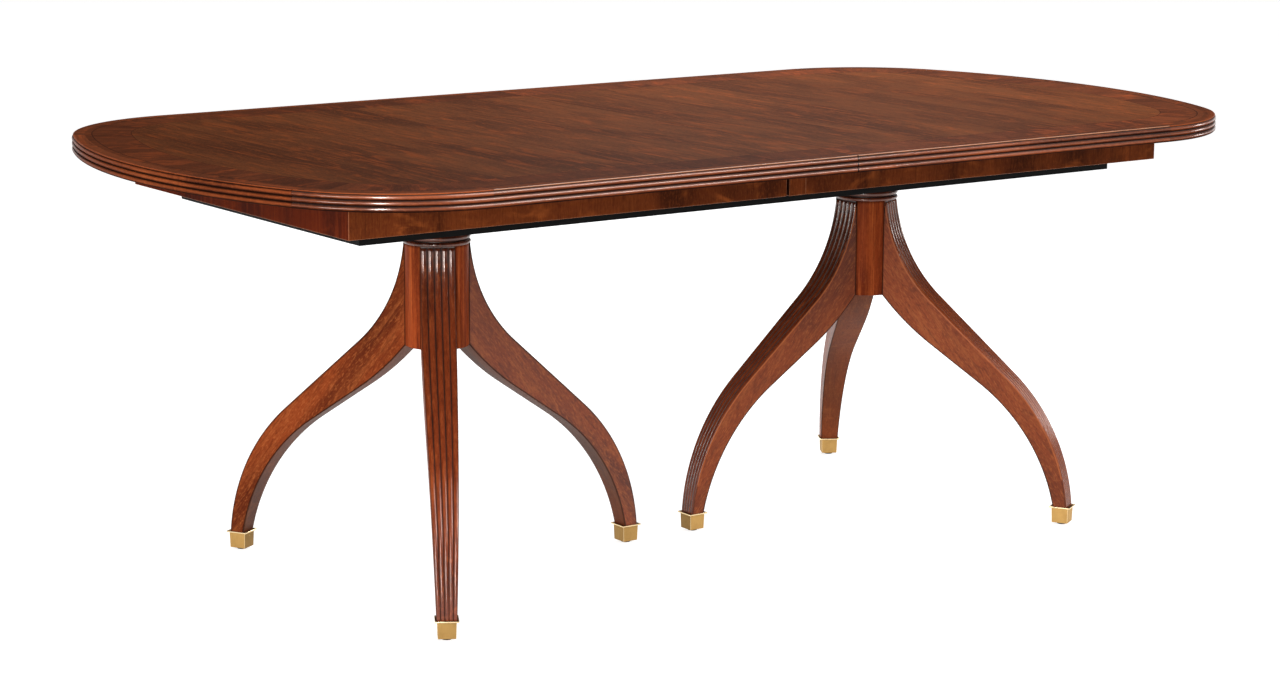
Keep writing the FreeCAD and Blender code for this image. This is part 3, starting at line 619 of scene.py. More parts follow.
# Grain seeds, joint lines and tones of the moulding lengths, in the order of the outline. The left half is
# the right half turned about, so its front is the outline's back.
MOULDING_SEEDS = {"front": 310, "front_corner": 1170, "end": 2230, "back_corner": 3190, "back": 4270}
MOULDING_ENDS = {"front": (1, 0.4), "end": (0.4, 0.4), "back": (0.4, 1)}
MOULDING_TONES = {
    "right": {"front": 0.3, "front_corner": -0.35, "end": 0.1, "back_corner": 0.0, "back": 0.1},
    "left": {"front": 0.1, "front_corner": 0.1, "end": 0.1, "back_corner": 0.0, "back": -0.3},
}
SATIN_LENGTHS = {"right": ("end", "back_corner"), "left": ("end", "front_corner")}
# Lengths whose arris takes the paler colours of its painted highlight; on the others it takes the matt flank
# finish
HIGHLIGHT_ARRIS_LENGTHS = ("front", "back")
LEFT_SEED = 5000


def build_mouldings():
    section = moulding_section()
    for side, sign in HALVES.items():
        turn, more = (0, 0) if sign > 0 else (180, LEFT_SEED)
        parts = {}
        for name, run in RUNS.items():
            tone = MOULDING_TONES[side][name]
            ends = MOULDING_ENDS.get(name, (0, 0))
            other_looks = [] if name in HIGHLIGHT_ARRIS_LENGTHS else [(EDGE_ARRIS, EDGE_MATT)]
            if name in SATIN_LENGTHS[side]:
                other_looks.append((EDGE_GLOSS, EDGE_SATIN))
            part = sweep(section, lined(run), MOULDING_SEEDS[name] + more, tone, ends, other_looks)
            parts[name] = part.moved(turn)
        front, back = ("front", "back") if sign > 0 else ("back", "front")
        groups = {
            "front_moulding_": [parts[front]],
            "back_moulding_": [parts[back]],
            "corner_mouldings_": [parts["front_corner"], parts["back_corner"]],
            "end_moulding_": [parts["end"]],
        }
        for stem, group in groups.items():
            piece = new_piece("reeded_" + stem + side, group, MOULDING_SMOOTH)
            dress(piece, side + "_half", EDGE_WOODS, stem + side)


BAND_SEED = 700
CROSSBAND_SEED = 900
# Crossband darker on the left half and lighter on the right: painted light
BAND_HALF_PAINTED_LIGHT = {"right": 0.3, "left": -0.5}


# Veneer between two insets from the outline
def band(outer, inner, seed, tone, turn):
    corners = ((outer, VENEER_BOTTOM), (outer, TABLE_HEIGHT), (inner, TABLE_HEIGHT), (inner, VENEER_BOTTOM))
    section = [(inset, z, 0, 0) for inset, z in corners]
    return sweep(section, whole_outline(), seed, tone).moved(turn)


def build_bands():
    string_inside = STRING_INSET + STRING_WIDTH
    for side, sign in HALVES.items():
        turn, seed = (0, BAND_SEED) if sign > 0 else (180, BAND_SEED + LEFT_SEED)
        tone = BAND_HALF_PAINTED_LIGHT[side]
        outer = band(MOULDING_WIDTH, STRING_INSET, seed, tone, turn)
        cross = band(string_inside, FIELD_INSET, seed + CROSSBAND_SEED, tone, turn)
        string = band(STRING_INSET, string_inside, seed, 0.0, turn)
        line = band(FIELD_INSET, FIELD_INSET + FIELD_LINE_WIDTH, seed, 0.0, turn)
        body = side + "_half"
        border = new_piece("crossband_" + side, [outer, cross])
        dress(border, body, [band_wood], "border_veneer_" + side)
        strings = new_piece("string_lines_" + side, [string, line])
        dress(strings, body, [string_wood], "inlay_string_" + side)


# Solid grain that runs up a piece
def upright_grain(ring, seed):
    return [(p.z, p.x, p.y + seed) for p in ring + ring[:1]]


# Turned pieces: a profile of (radius, height, painted light) about the Z axis, with a look for each point
LATHE_STEPS = 96


def lathe(profile, seed, looks):
    rows = []
    turns = [2 * math.pi * i / LATHE_STEPS for i in range(LATHE_STEPS)]
    for radius, z, painted_light in profile:
        ring = [Vector((radius * math.cos(a), radius * math.sin(a), z)) for a in turns]
        rows.append((ring, upright_grain(ring, seed), [painted_light] * LATHE_STEPS))
    return skin(rows, 0.0, [[look] * LATHE_STEPS for look in looks])


def arc_profile(centre_radius, centre_z, radius, start, end, steps, painted_light):
    profile = []
    for angle in angles(start, end, steps):
        profile.append((centre_radius + radius * math.cos(angle), centre_z + radius * math.sin(angle), painted_light))
    return profile


# Column below the ring: round between the legs, flat where a leg sits
SHAFT_STEPS = 24
SEAT_CLEARANCE = 0.1
SEAT_HALF = LEG_ROOT_WIDTH / 2 + SEAT_CLEARANCE
SHAFT_HEIGHT = LEG_TOP - COLUMN_BOTTOM
# (height above the column's bottom, growth of the radius, painted shade at the bottom and under the ring)
SHAFT_LEVELS = ((0, -1.6, 0.5), (0.5, -0.5, 0.3), (1.6, 0, 0), (30, 0, 0), (SHAFT_HEIGHT - 6, 0, 0),
                (SHAFT_HEIGHT, 0, 0.7))
# Painted shade where a leg sits against the column and along the column's edges beside the legs
SEAT_PAINTED_SHADE = 0.6
SHAFT_EDGE_PAINTED_SHADE = (0.8, 0.3, 0)
# The left shaft is lighter, painted light for the shade in the niche between its legs; the right one is
# darker
SHAFT_HALF_PAINTED_LIGHT = {"right": -0.2, "left": 0.5}


def column_shaft(seed, tone):
    edge = math.degrees(math.asin(SEAT_HALF / COLUMN_RADIUS))
    rows = []
    for rise, grow, painted_light in SHAFT_LEVELS:
        ring, ring_painted_shade = [], []
        for leg in range(LEG_COUNT):
            turn = Matrix.Rotation(math.radians(LEG_TURN * leg), 4, "Z")
            next_turn = Matrix.Rotation(math.radians(LEG_TURN * (leg + 1)), 4, "Z")
            ring.append(turn @ Vector((LEG_SEAT_RADIUS, SEAT_HALF, 0)))
            ring_painted_shade.append(SEAT_PAINTED_SHADE)
            for i in range(SHAFT_STEPS + 1):
                angle = math.radians(edge + (LEG_TURN - 2 * edge) * i / SHAFT_STEPS)
                radius = COLUMN_RADIUS + grow
                ring.append(turn @ Vector((radius * math.cos(angle), radius * math.sin(angle), 0)))
                ring_painted_shade.append(max(painted_light, SHAFT_EDGE_PAINTED_SHADE[min(i, SHAFT_STEPS - i, 2)]))
            ring.append(next_turn @ Vector((LEG_SEAT_RADIUS, -SEAT_HALF, 0)))
            ring_painted_shade.append(SEAT_PAINTED_SHADE)
        lift = Vector((0, 0, COLUMN_BOTTOM + rise))
        ring = [point + lift for point in ring]
        rows.append((ring, upright_grain(ring, seed), ring_painted_shade))
    return skin(rows, tone)


# How far the ring's underside runs in, out of sight
HIDDEN_REACH = 8
RING_STEPS = 14


def column_ring(seed):
    # Painted shade on the ring's underside, on its bead and in the groove under the collar
    half = RING_THICKNESS / 2
    profile = [(COLUMN_RADIUS - HIDDEN_REACH, LEG_TOP, 1), (COLUMN_RADIUS - 0.1, LEG_TOP, 0.9)]
    profile += arc_profile(COLUMN_RADIUS, LEG_TOP + half, half, -90, 90, RING_STEPS, 0.4)
    profile += [(COLUMN_NECK_RADIUS + 0.5, COLUMN_TOP, 1), (COLUMN_NECK_RADIUS, COLUMN_TOP + 0.3, 1)]
    profile += [(COLUMN_NECK_RADIUS, COLLAR_BOTTOM, 1)]
    return lathe(profile, seed, [TURNED_POLISHED] * len(profile))


COLLAR_HIDDEN_REACH = 6
COLLAR_STEPS = 16
COVE_STEPS = 16
# Painted shade on the collar bead, in the cove and on the flange under the top
COVE_PAINTED_SHADE = 0.85
FLANGE_ROUND = 1.2
FLANGE_STEPS = 4


def capital(seed):
    half = (COLLAR_TOP - COLLAR_BOTTOM) / 2
    rim = RING_CREST_RADIUS - half
    profile = [(rim - COLLAR_HIDDEN_REACH, COLLAR_BOTTOM, 1)]
    profile += arc_profile(rim, COLLAR_BOTTOM + half, half, -90, 90, COLLAR_STEPS, 0.5)
    bead = len(profile)
    cove_rise = FLANGE_BOTTOM - COLLAR_TOP
    for i in range(1, COVE_STEPS):
        share = i / COVE_STEPS
        hollow = math.sin(math.pi * share)
        edge = rim + (COLUMN_NECK_RADIUS - rim) * share
        radius = edge - (edge - CAPITAL_NECK_RADIUS) * hollow
        profile.append((radius, COLLAR_TOP + cove_rise * share, COVE_PAINTED_SHADE))
    rounded = FLANGE_RADIUS - FLANGE_ROUND
    profile += [(COLUMN_NECK_RADIUS, FLANGE_BOTTOM, COVE_PAINTED_SHADE), (rounded, FLANGE_BOTTOM, 0.7)]
    profile += arc_profile(rounded, FLANGE_BOTTOM + FLANGE_ROUND, FLANGE_ROUND, -90, 0, FLANGE_STEPS, 0.6)
    profile += [(FLANGE_RADIUS, FRAME_BOTTOM, 0.6)]
    looks = [TURNED_POLISHED] * bead + [TURNED_PLAIN] * (len(profile) - bead)
    return lathe(profile, seed, looks)


# Leg curves in the leg's own plane: hollow, straight run and knee
OUTER_SHARES = ((0.25, 0.326), (0.67, 0.57))
UNDER_SHARES = ((0.28, 0.228), (0.568, 0.407))
SEAT_SHARE = 5 / 24
CURVE_STEPS = 200


class LegCurve:
    def __init__(self, start, end, shares):
        first, second = (self.between(start, end, share) for share in shares)
        direction = (second - first).normalized()
        across = Vector((-direction.z, 0, direction.x))
        points = list(reversed(self.arc(first, start, across))) + self.arc(second, end, across)
        self.points = points
        self.lengths = [0.0]
        for a, b in zip(points, points[1:]):
            self.lengths.append(self.lengths[-1] + (b - a).length)

    def between(self, start, end, share):
        return Vector((start.x + (end.x - start.x) * share[0], 0, start.z + (end.z - start.z) * share[1]))

    def arc(self, touch, far, across):
        chord = far - touch
        centre = touch + across * (chord.length_squared / (2 * chord.dot(across)))
        spoke, last = touch - centre, far - centre
        axis = spoke.cross(last).normalized()
        step = spoke.angle(last) / CURVE_STEPS
        return [centre + Matrix.Rotation(step * i, 3, axis) @ spoke for i in range(CURVE_STEPS + 1)]

    def at(self, share):
        wanted = self.lengths[-1] * share
        index = 0
        while index < len(self.points) - 2 and self.lengths[index + 1] < wanted:
            index += 1
        span = self.lengths[index + 1] - self.lengths[index]
        return self.points[index].lerp(self.points[index + 1], (wanted - self.lengths[index]) / span)


OUTER_FOOT = Vector((LEG_REACH + LEG_FOOT_DEPTH / 2, 0, CUP_LIP_TOP))
UNDER_FOOT = Vector((LEG_REACH - LEG_FOOT_DEPTH / 2, 0, CUP_LIP_TOP))
OUTER_CURVE = LegCurve(Vector((LEG_ROOT_RADIUS, 0, LEG_TOP)), OUTER_FOOT, OUTER_SHARES)
UNDER_CURVE = LegCurve(Vector((LEG_SEAT_RADIUS, 0, COLUMN_BOTTOM)), UNDER_FOOT, UNDER_SHARES)
SEAT_TOP = Vector((LEG_SEAT_RADIUS, 0, LEG_TOP))
LEG_STEPS = 120
REED_STEPS = 10
REED_END_START = 2.2
REED_END_LENGTH = 5.5
REED_END_FADE = 1.2
TOP_DISTANCES = (0, 2.0, 2.3, 2.8, 3.5, 4.4, 5.5, 6.8, 8.5)
LEG_SINK = 1.0
GLOSS_SHARE = 0.45
EDGE_HIGHLIGHT_SHARE = 0.92
EDGE_HIGHLIGHT_REACH = 2
# The painted shade of a groove over a reed's half width: slope and offset
LEG_GROOVE = (3.2, 1.9)
# Narrower groove shade on the leg with the painted highlight
HIGHLIGHT_LEG_GROOVE = (4.5, 3.2)
LEG_ARRIS = 1.1
LEG_ARRIS_SHARE = 0.1
LEG_GRAIN_SLOPE = math.radians(-52)


def leg_shares():
    length = OUTER_CURVE.lengths[-1]
    shares = [distance / length for distance in TOP_DISTANCES]
    return shares + [i / LEG_STEPS for i in range(2, LEG_STEPS + 1)]


def leg_part(seed, painted_mark, tone, groove):
    rows, row_looks = [], []
    length = OUTER_CURVE.lengths[-1]
    for share in leg_shares() + [None]:
        sunk = Vector((0, 0, -LEG_SINK if share is None else 0))
        share = 1 if share is None else share
        lower = max(0, share - SEAT_SHARE) / (1 - SEAT_SHARE)
        inner = UNDER_CURVE.at(lower) if lower else SEAT_TOP.lerp(UNDER_CURVE.points[0], share / SEAT_SHARE)
        width = LEG_ROOT_WIDTH + (LEG_FOOT_WIDTH - LEG_ROOT_WIDTH) * lower ** LEG_TAPER_POWER
        near = min(1, max(0, share * length - REED_END_START) / REED_END_LENGTH)
        rise_share = math.sqrt(1 - (1 - near) ** 2)
        # One upper edge of some legs takes a painted highlight down most of the leg; the other edges take a
        # dark line of painted shade
        highlight_edge = painted_mark if rise_share == 1 and share < EDGE_HIGHLIGHT_SHARE else 0
        edge_painted_light = [-1 if highlight_edge == edge else 0.6 for edge in (-1, 1)]
        outer = OUTER_CURVE.at(share) + sunk
        ring, painted_light, looks = leg_ring(inner + sunk, outer, width, rise_share, edge_painted_light, groove)
        rows.append((ring, [leg_grain(point, seed) for point in ring + ring[:1]], painted_light))
        low = share > GLOSS_SHARE
        row_looks.append([LEG_LOW_REED if look == LEG_REED and low else look for look in looks])
    return skin(rows, tone, row_looks)


# Solid grain that runs down the leg's slope
def leg_grain(point, seed):
    cosine, sine = math.cos(LEG_GRAIN_SLOPE), math.sin(LEG_GRAIN_SLOPE)
    return (point.x * cosine + point.z * sine + seed, point.z * cosine - point.x * sine, point.y + seed)


def leg_ring(inner, outer, width, rise_share, edge_painted_light, groove):
    outward = (outer - inner).normalized()
    half = width / 2
    reed = width / LEG_REEDS
    rise = LEG_REED_RISE * reed
    depth = (outer - inner).length - rise
    arris = min(LEG_ARRIS, half * LEG_ARRIS_SHARE)
    ring, painted_light, looks = [], [], []

    def add(height, y, dark, look=LEG_SIDE):
        point = inner + outward * height
        ring.append(Vector((point.x, y, point.z)))
        painted_light.append(dark)
        looks.append(look)

    # (height, inset, painted shade) of the underside and the sides, with dark lines along the arrises, and
    # (height, inset) of the upper edges, which take their edge's painted shade, or on one edge a painted
    # highlight
    under = ((0, arris * 2.4, 0.6), (0, arris, 0.75), (arris * 0.3, arris * 0.3, 1.0))
    sides = ((arris, 0, 1.0), (arris + 0.9, 0, 0.8), (arris + 2.2, 0, 0.05), (depth * 0.5, 0, 0))
    sides += ((depth - 2.6, 0, 0.1), (depth - 1.2, 0, 0.5))
    edges = ((depth - 0.5, 0.06), (depth - 0.15, 0.25))
    for height, inset, dark in under:
        add(height, inset - half, dark, LEG_UNDER)
    left, right = edge_painted_light
    for height, inset, dark in sides:
        add(height, inset - half, min(dark, left) if height > depth - EDGE_HIGHLIGHT_REACH else dark)
    for height, inset in edges:
        add(height, inset - half, left)
    radius, half_sweep = reed_arc(reed, rise)
    for index in range(LEG_REEDS):
        middle = -half + (index + 0.5) * reed
        for step in range(1, REED_STEPS + (index < LEG_REEDS - 1)):
            share = step / REED_STEPS * 2 - 1
            lift = radius * math.cos(share * half_sweep) - (radius - rise)
            # Painted shade in the grooves, and at the reeds' top ends under the ring
            dark = min(1, max(0, abs(share) * groove[0] - groove[1], 1 - rise_share * REED_END_FADE))
            add(depth + lift * rise_share, middle + radius * math.sin(share * half_sweep), dark, LEG_REED)
    looks[-1] = LEG_SIDE
    for height, inset in reversed(edges):
        add(height, half - inset, right)
    for height, inset, dark in reversed(sides):
        add(height, half - inset, min(dark, right) if height > depth - EDGE_HIGHLIGHT_REACH else dark)
    looks[-1] = LEG_UNDER
    for height, inset, dark in reversed(under):
        add(height, half - inset, dark, LEG_UNDER)
    return ring, painted_light, looks


# Square brass cup with a thin lip: (width, height, corner radius, painted light, look) up its outside, with
# painted shade under the lip and on its top, and darker at the bottom
CUP_LEVELS = (
    (CUP_BOTTOM_WIDTH - 3, CUP_BOTTOM, 0.3, 0.6, 0),
    (CUP_BOTTOM_WIDTH - 0.7, CUP_BOTTOM, 0.4, 0.4, 0),
    (CUP_BOTTOM_WIDTH - 0.2, CUP_BOTTOM + 0.25, 0.45, 0, 0),
    (CUP_BOTTOM_WIDTH, CUP_BOTTOM + 0.7, 0.5, 0, 0),
    (CUP_TOP_WIDTH - 0.1, CUP_LIP_BOTTOM - 1.6, 0.5, 0, 0),
    (CUP_TOP_WIDTH, CUP_LIP_BOTTOM - 0.1, 0.5, 0.7, 0),
    (CUP_TOP_WIDTH + 0.5, CUP_LIP_BOTTOM + 0.05, 0.5, 0.7, 0),
    (CUP_LIP_WIDTH - 0.9, CUP_LIP_BOTTOM + 0.15, 0.6, 0.4, 1),
    (CUP_LIP_WIDTH - 0.2, CUP_LIP_BOTTOM + 0.5, 0.6, 0, 1),
    (CUP_LIP_WIDTH, CUP_LIP_BOTTOM + 1.0, 0.6, 0, 1),
    (CUP_LIP_WIDTH, CUP_LIP_TOP - 0.9, 0.6, 0, 1),
    (CUP_LIP_WIDTH - 0.3, CUP_LIP_TOP - 0.25, 0.6, 0, 1),
    (CUP_LIP_WIDTH - 1.1, CUP_LIP_TOP, 0.6, 0.2, 0),
    (LEG_FOOT_WIDTH + 3.2, CUP_LIP_TOP, 0.6, 0.9, 0),
    (LEG_FOOT_WIDTH + 2.0, CUP_LIP_TOP - 0.4, 0.6, 1.0, 0),
    (LEG_FOOT_WIDTH - 1.0, CUP_LIP_TOP - 0.9, 0.5, 1.0, 0),
)
CUP_CORNER_STEPS = 4


def rounded_square(width, corner, z):
    half = width / 2 - corner
    ring = []
    for quarter, (x_side, y_side) in enumerate(((1, 1), (-1, 1), (-1, -1), (1, -1))):
        for i in range(CUP_CORNER_STEPS + 1):
            angle = math.radians(90 * (quarter + i / CUP_CORNER_STEPS))
            x = LEG_REACH + x_side * half + corner * math.cos(angle)
            ring.append(Vector((x, y_side * half + corner * math.sin(angle), z)))
    return ring


def cup_grain(ring, seed):
    return [(p.z + seed, p.x, p.y) for p in ring + ring[:1]]


def cup_part(seed, paint_wear_and_cup_shade):
    # Painted shade on each face of the cup's body, blended round its corners
    rows, face_painted_shade = [], []
    for quarter in range(4):
        blends = [i / CUP_CORNER_STEPS for i in range(CUP_CORNER_STEPS + 1)]
        face_painted_shade += [paint_wear_and_cup_shade[quarter - 1] * (1 - blend) + paint_wear_and_cup_shade[quarter] * blend for blend in blends]
    for width, z, corner, painted_light, _ in CUP_LEVELS:
        ring = rounded_square(width, corner, z)
        darker = [max(painted_light, painted_mark) if z < CUP_LIP_BOTTOM else painted_light for painted_mark in face_painted_shade]
        rows.append((ring, cup_grain(ring, seed), darker))
    on_corner = [index % (CUP_CORNER_STEPS + 1) < CUP_CORNER_STEPS for index in range(len(face_painted_shade))]
    looks = [[max(level[-1], int(corner)) for corner in on_corner] for level in CUP_LEVELS]
    return skin(rows, 0.0, looks)


# Small round head of the pin that holds a cup, on the cup's inner face
PIN_PROFILE = ((1.3, -0.6, 1.0), (1.3, 0.1, 0.9), (1.05, 0.35, 0.2), (0.6, 0.5, 0), (0.2, 0.55, 0))
PIN_STEPS = 20
PIN_HEIGHT_SHARE = 0.78


def cup_pin_part(seed):
    flare = (CUP_TOP_WIDTH - CUP_BOTTOM_WIDTH) / 2
    tall = CUP_LIP_BOTTOM - CUP_BOTTOM
    tilt = math.atan2(flare, tall)
    face = LEG_REACH - CUP_BOTTOM_WIDTH / 2 - flare * PIN_HEIGHT_SHARE
    height = CUP_BOTTOM + tall * PIN_HEIGHT_SHARE
    rows = []
    for radius, lift, painted_light in PIN_PROFILE:
        ring = []
        for i in range(PIN_STEPS):
            angle = 2 * math.pi * i / PIN_STEPS
            side, up = radius * math.cos(angle), radius * math.sin(angle)
            x = face - lift * math.cos(tilt) - up * math.sin(tilt)
            ring.append(Vector((x, side, height + up * math.cos(tilt) - lift * math.sin(tilt))))
        rows.append((ring, cup_grain(ring, seed), [painted_light] * PIN_STEPS))
    return skin(rows)


PEDESTAL_SEEDS = {"right": 400, "left": 1900}
CAPITAL_SEED = 300
LEG_SEED = 730
CUP_SEED = 90
# Each leg has woods, a tone, the painted shade of its grooves, an edge with a painted highlight (-1 on the
# left, 1 on the right, 0 for none) and the painted shade on its cup's left, inner, right and outer faces,
# with left and right as seen from its foot. The back right leg's lighter tone is painted light on a leg in
# shade.
LEGS = {
    "leg_left_inner": (SHEEN_LEG_WOODS, -0.68, LEG_GROOVE, 1, (0.35, 0.4, 0.3, 0.35)),
    "leg_left_front": (LEG_WOODS, 0.0, LEG_GROOVE, 0, (0.2, 0.3, 0.1, 0.37)),
    "leg_left_back": (LEG_WOODS, 0.0, LEG_GROOVE, 0, (0.0, 0.55, 0.2, 0.1)),
    "leg_right_inner": (SATIN_LEG_WOODS, -0.58, LEG_GROOVE, 1, (0.0, 0.2, 0.3, 0.53)),
    "leg_right_front": (HIGHLIGHT_LEG_WOODS, -0.4, HIGHLIGHT_LEG_GROOVE, -1, (0.3, 0.2, 0.0, 0.05)),
    "leg_right_back": (SATIN_LEG_WOODS, 0.5, LEG_GROOVE, 0, (0.2, 0.2, 0.4, 0.1)),
}


def build_pedestal(side, sign):
    body = side + "_half"
    x = PEDESTAL_X * sign
    turn = 180 if sign > 0 else 0
    seed = PEDESTAL_SEEDS[side]
    shaft = column_shaft(seed, SHAFT_HALF_PAINTED_LIGHT[side])
    parts = [shaft.moved(turn, x), column_ring(seed).moved(turn, x)]
    dress(new_piece("turned_column_" + side, parts), body, COLUMN_WOODS, "column_" + side)
    head = new_piece("turned_capital_" + side, [capital(seed + CAPITAL_SEED).moved(turn, x)])
    dress(head, body, CAPITAL_WOODS, "collar_" + side)
    cups, pins = [], []
    for number, (name, degrees) in enumerate(LEG_ANGLES.items()):
        angle = degrees if sign > 0 else degrees + 180
        node = "leg_" + side + "_" + (name if sign > 0 else OPPOSITE[name])
        woods, tone, groove, painted_mark, paint_wear_and_cup_shade = LEGS[node]
        part = leg_part(seed + LEG_SEED * (number + 1), painted_mark, tone, groove)
        leg = new_piece("reeded_" + node, [part.moved(angle, x)], LEG_SMOOTH)
        dress(leg, body, woods, node)
        cups.append(cup_part(seed + CUP_SEED * number, paint_wear_and_cup_shade).moved(angle, x))
        pins.append(cup_pin_part(seed + CUP_SEED * number).moved(angle, x))
    brass_cups = new_piece("brass_cups_" + side, cups, CUP_SMOOTH)
    dress(brass_cups, body, [cup_brass, lip_brass], "sabots_" + side)
    dress(new_piece("cup_pins_" + side, pins, PIN_SMOOTH), body, [cup_brass])


build_mouldings()
build_bands()
for half_side, half_sign in HALVES.items():
    build_pedestal(half_side, half_sign)

# CAD nodes that stay get a material each, and soft edges in millimetres
SLOT_MATERIALS = {
    "field_veneer": field_wood, "apron_veneer": apron_wood, "core_wood": underside_wood,
    "black_paint": painted_black, "slide_wood": slide_wood, "brass": brass, "steel": steel,
    "glide_plastic": plastic,
}
SOFT_EDGES = {
    "apron_": 0.8, "frame_": 1.2, "pedestal_board_": 1.0, "slide_": 0.8,
    "lock_": 0.4, "pedestal_bolts_": 0.4, "leaf_pin": 0.4,
}
WELD_DISTANCE = 0.00001
BEVEL_SEGMENTS = 3
BEVEL_ANGLE = 40


def soften(node, width):
    weld = node.modifiers.new("weld", "WELD")
    weld.merge_threshold = WELD_DISTANCE
    bevel = node.modifiers.new("soft_edges", "BEVEL")
    bevel.width = width * MM
    bevel.segments = BEVEL_SEGMENTS
    bevel.limit_method = "ANGLE"
    bevel.angle_limit = math.radians(BEVEL_ANGLE)
    if len(node.data.materials) > 1:
        bevel.material = 1
    normals = node.modifiers.new("normals", "WEIGHTED_NORMAL")
    normals.keep_sharp = True


for part in frame["record"]["subparts"]:
    node = nodes[part["node"]]
    if node.hide_render:
        continue
    node.data.materials.clear()
    slot = part["material_slot"]
    node.data.materials.append(SLOT_MATERIALS[slot])
    if slot == "apron_veneer":
        node.data.materials.append(rubbed_wood)
    # The end aprons take the darker copy of the apron veneer, painted shade
    if node.name.startswith("apron_end"):
        node.data.materials[0] = shaded_end_apron_wood
    if node.name.startswith("apron_seam"):
        node.data.materials[0] = block_wood
    for stem, width in SOFT_EDGES.items():
        if node.name.startswith(stem):
            soften(node, width)

# Studio: the floor shows white to the camera and in reflections, and keeps the shadow
FLOOR_COLOUR = (0.5, 0.5, 0.5, 1)
FLOOR_GLOW = 0.785
FLOOR_SIZE = 80
AMBIENT = 0.15
HORIZON_SINES = (0.03, 0.17)


def build_floor():
    bpy.ops.mesh.primitive_plane_add(size=FLOOR_SIZE, location=(0, 0, 0))
    floor = bpy.context.object
    floor.name = "studio_floor"
    material = bpy.data.materials.new("studio_floor")
    add, link = empty_tree(material)
    output = add("ShaderNodeOutputMaterial")
    diffuse = add("ShaderNodeBsdfDiffuse")
    diffuse.inputs["Color"].default_value = FLOOR_COLOUR
    path = add("ShaderNodeLightPath")
    seen = path.outputs["Is Camera Ray"]
    for name in ("Is Glossy Ray", "Is Transmission Ray"):
        either = add("ShaderNodeMath")
        either.operation = "MAXIMUM"
        link(seen, either.inputs[0])
        link(path.outputs[name], either.inputs[1])
        seen = either.outputs[0]
    level = add("ShaderNodeMath")
    level.operation = "MULTIPLY"
    level.inputs[1].default_value = FLOOR_GLOW
    link(seen, level.inputs[0])
    glow = add("ShaderNodeEmission")
    link(level.outputs[0], glow.inputs["Strength"])
    both = add("ShaderNodeAddShader")
    link(diffuse.outputs[0], both.inputs[0])
    link(glow.outputs[0], both.inputs[1])
    link(both.outputs[0], output.inputs["Surface"])
    floor.data.materials.append(material)


# White at the horizon, soft grey above it
def build_world():
    world = bpy.data.worlds.new("studio")
    bpy.context.scene.world = world
    add, link = empty_tree(world)
    output = add("ShaderNodeOutputWorld")
    back = add("ShaderNodeBackground")
    place = add("ShaderNodeTexCoord")
    parts = add("ShaderNodeSeparateXYZ")
    level = add("ShaderNodeMapRange")
    level.interpolation_type = "SMOOTHSTEP"
    limits = (*HORIZON_SINES, 1.0, AMBIENT)
    for key, value in zip(("From Min", "From Max", "To Min", "To Max"), limits):
        level.inputs[key].default_value = value
    link(place.outputs["Generated"], parts.inputs[0])
    link(parts.outputs["Z"], level.inputs["Value"])
    back.inputs["Color"].default_value = (1, 1, 1, 1)
    link(level.outputs["Result"], back.inputs["Strength"])
    link(back.outputs[0], output.inputs["Surface"])


# Lamps: name, place, point aimed at, width, height and power in watts
SOFTBOXES = (
    ("strip_light", (-3.78, -3.52, 1.8), (-0.3, 0, 0.45), 0.3, 2.8, 200),
    ("corner_light", (-4.6, -1.6, 1.2), (-0.8, -0.4, 0.75), 1.6, 0.8, 28),
    ("edge_light", (2.55, -4.05, 2.68), (-0.35, -0.55, 0.75), 1.4, 0.4, 40),
    ("side_light", (4.1, -1.0, 1.2), (0.81, -0.53, 0.75), 0.6, 0.4, 12),
    ("back_light", (2.2, 2.4, 3.0), (0.7, 0, 0.6), 1.6, 1.5, 130),
)
# Name, azimuth, elevation, strength and width of the sun's disc in degrees
KEY_LIGHT = ("key_light", 298, 42, 1.3, 30)


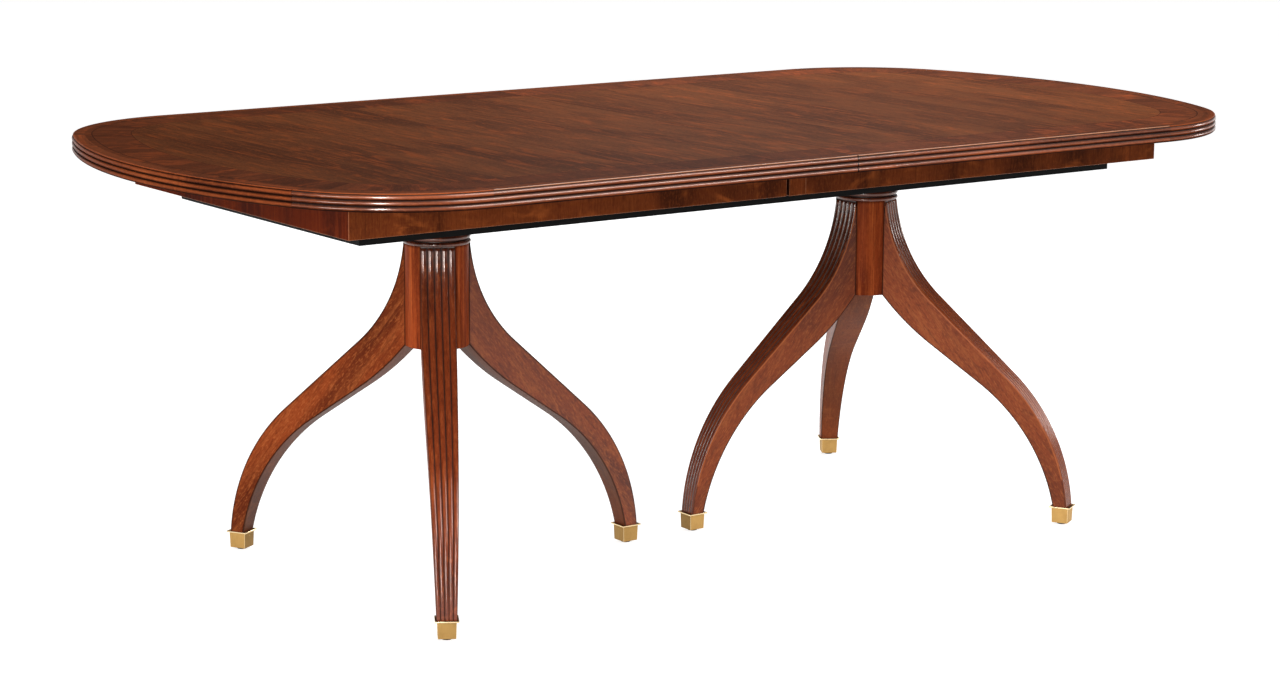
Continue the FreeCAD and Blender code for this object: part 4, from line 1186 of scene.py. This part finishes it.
def softbox(name, place, aim, width, height, power):
    light = bpy.data.lights.new(name, "AREA")
    light.shape = "RECTANGLE"
    light.size = width
    light.size_y = height
    light.energy = power
    lamp = new_object(name, light)
    lamp.location = place
    lamp.rotation_euler = (Vector(aim) - Vector(place)).to_track_quat("-Z", "Y").to_euler()


def sun_key(name, azimuth, elevation, strength, width):
    light = bpy.data.lights.new(name, "SUN")
    light.energy = strength
    light.angle = math.radians(width)
    lamp = new_object(name, light)
    lamp.rotation_euler = (0, math.radians(90 - elevation), math.radians(azimuth))


CAMERA_PLACE = (-3.28329, -4.52816, 1.45776)
CAMERA_YAW, CAMERA_PITCH, CAMERA_ROLL = -35.241, 10.894, 0.32
PHOTO_WIDTH, PHOTO_HEIGHT = 1280, 687
PHOTO_FOCAL = 3156.945
PHOTO_CENTRE = (622.742, 330.018)
SENSOR = 36.0


def build_camera():
    yaw, pitch, roll = (math.radians(value) for value in (CAMERA_YAW, CAMERA_PITCH, CAMERA_ROLL))
    up_axis = Vector((0, 0, 1))
    level_ahead = Vector((-math.sin(yaw), math.cos(yaw), 0))
    level_right = Vector((math.cos(yaw), math.sin(yaw), 0))
    ahead = math.cos(pitch) * level_ahead - math.sin(pitch) * up_axis
    up = math.cos(pitch) * up_axis + math.sin(pitch) * level_ahead
    right = math.cos(roll) * level_right + math.sin(roll) * up
    top = -math.sin(roll) * level_right + math.cos(roll) * up
    data = bpy.data.cameras.new("photo_camera")
    data.sensor_fit = "HORIZONTAL"
    data.sensor_width = SENSOR
    data.lens = PHOTO_FOCAL / PHOTO_WIDTH * SENSOR
    data.shift_x = (PHOTO_WIDTH / 2 - PHOTO_CENTRE[0]) / PHOTO_WIDTH
    data.shift_y = (PHOTO_CENTRE[1] - PHOTO_HEIGHT / 2) / PHOTO_WIDTH
    camera = new_object("photo_camera", data)
    basis = Matrix((right, top, -ahead)).transposed().to_4x4()
    camera.matrix_world = Matrix.Translation(CAMERA_PLACE) @ basis
    bpy.context.scene.camera = camera


build_floor()
build_world()
for box in SOFTBOXES:
    softbox(*box)
sun_key(*KEY_LIGHT)
build_camera()
bpy.context.scene.view_settings.view_transform = "Standard"
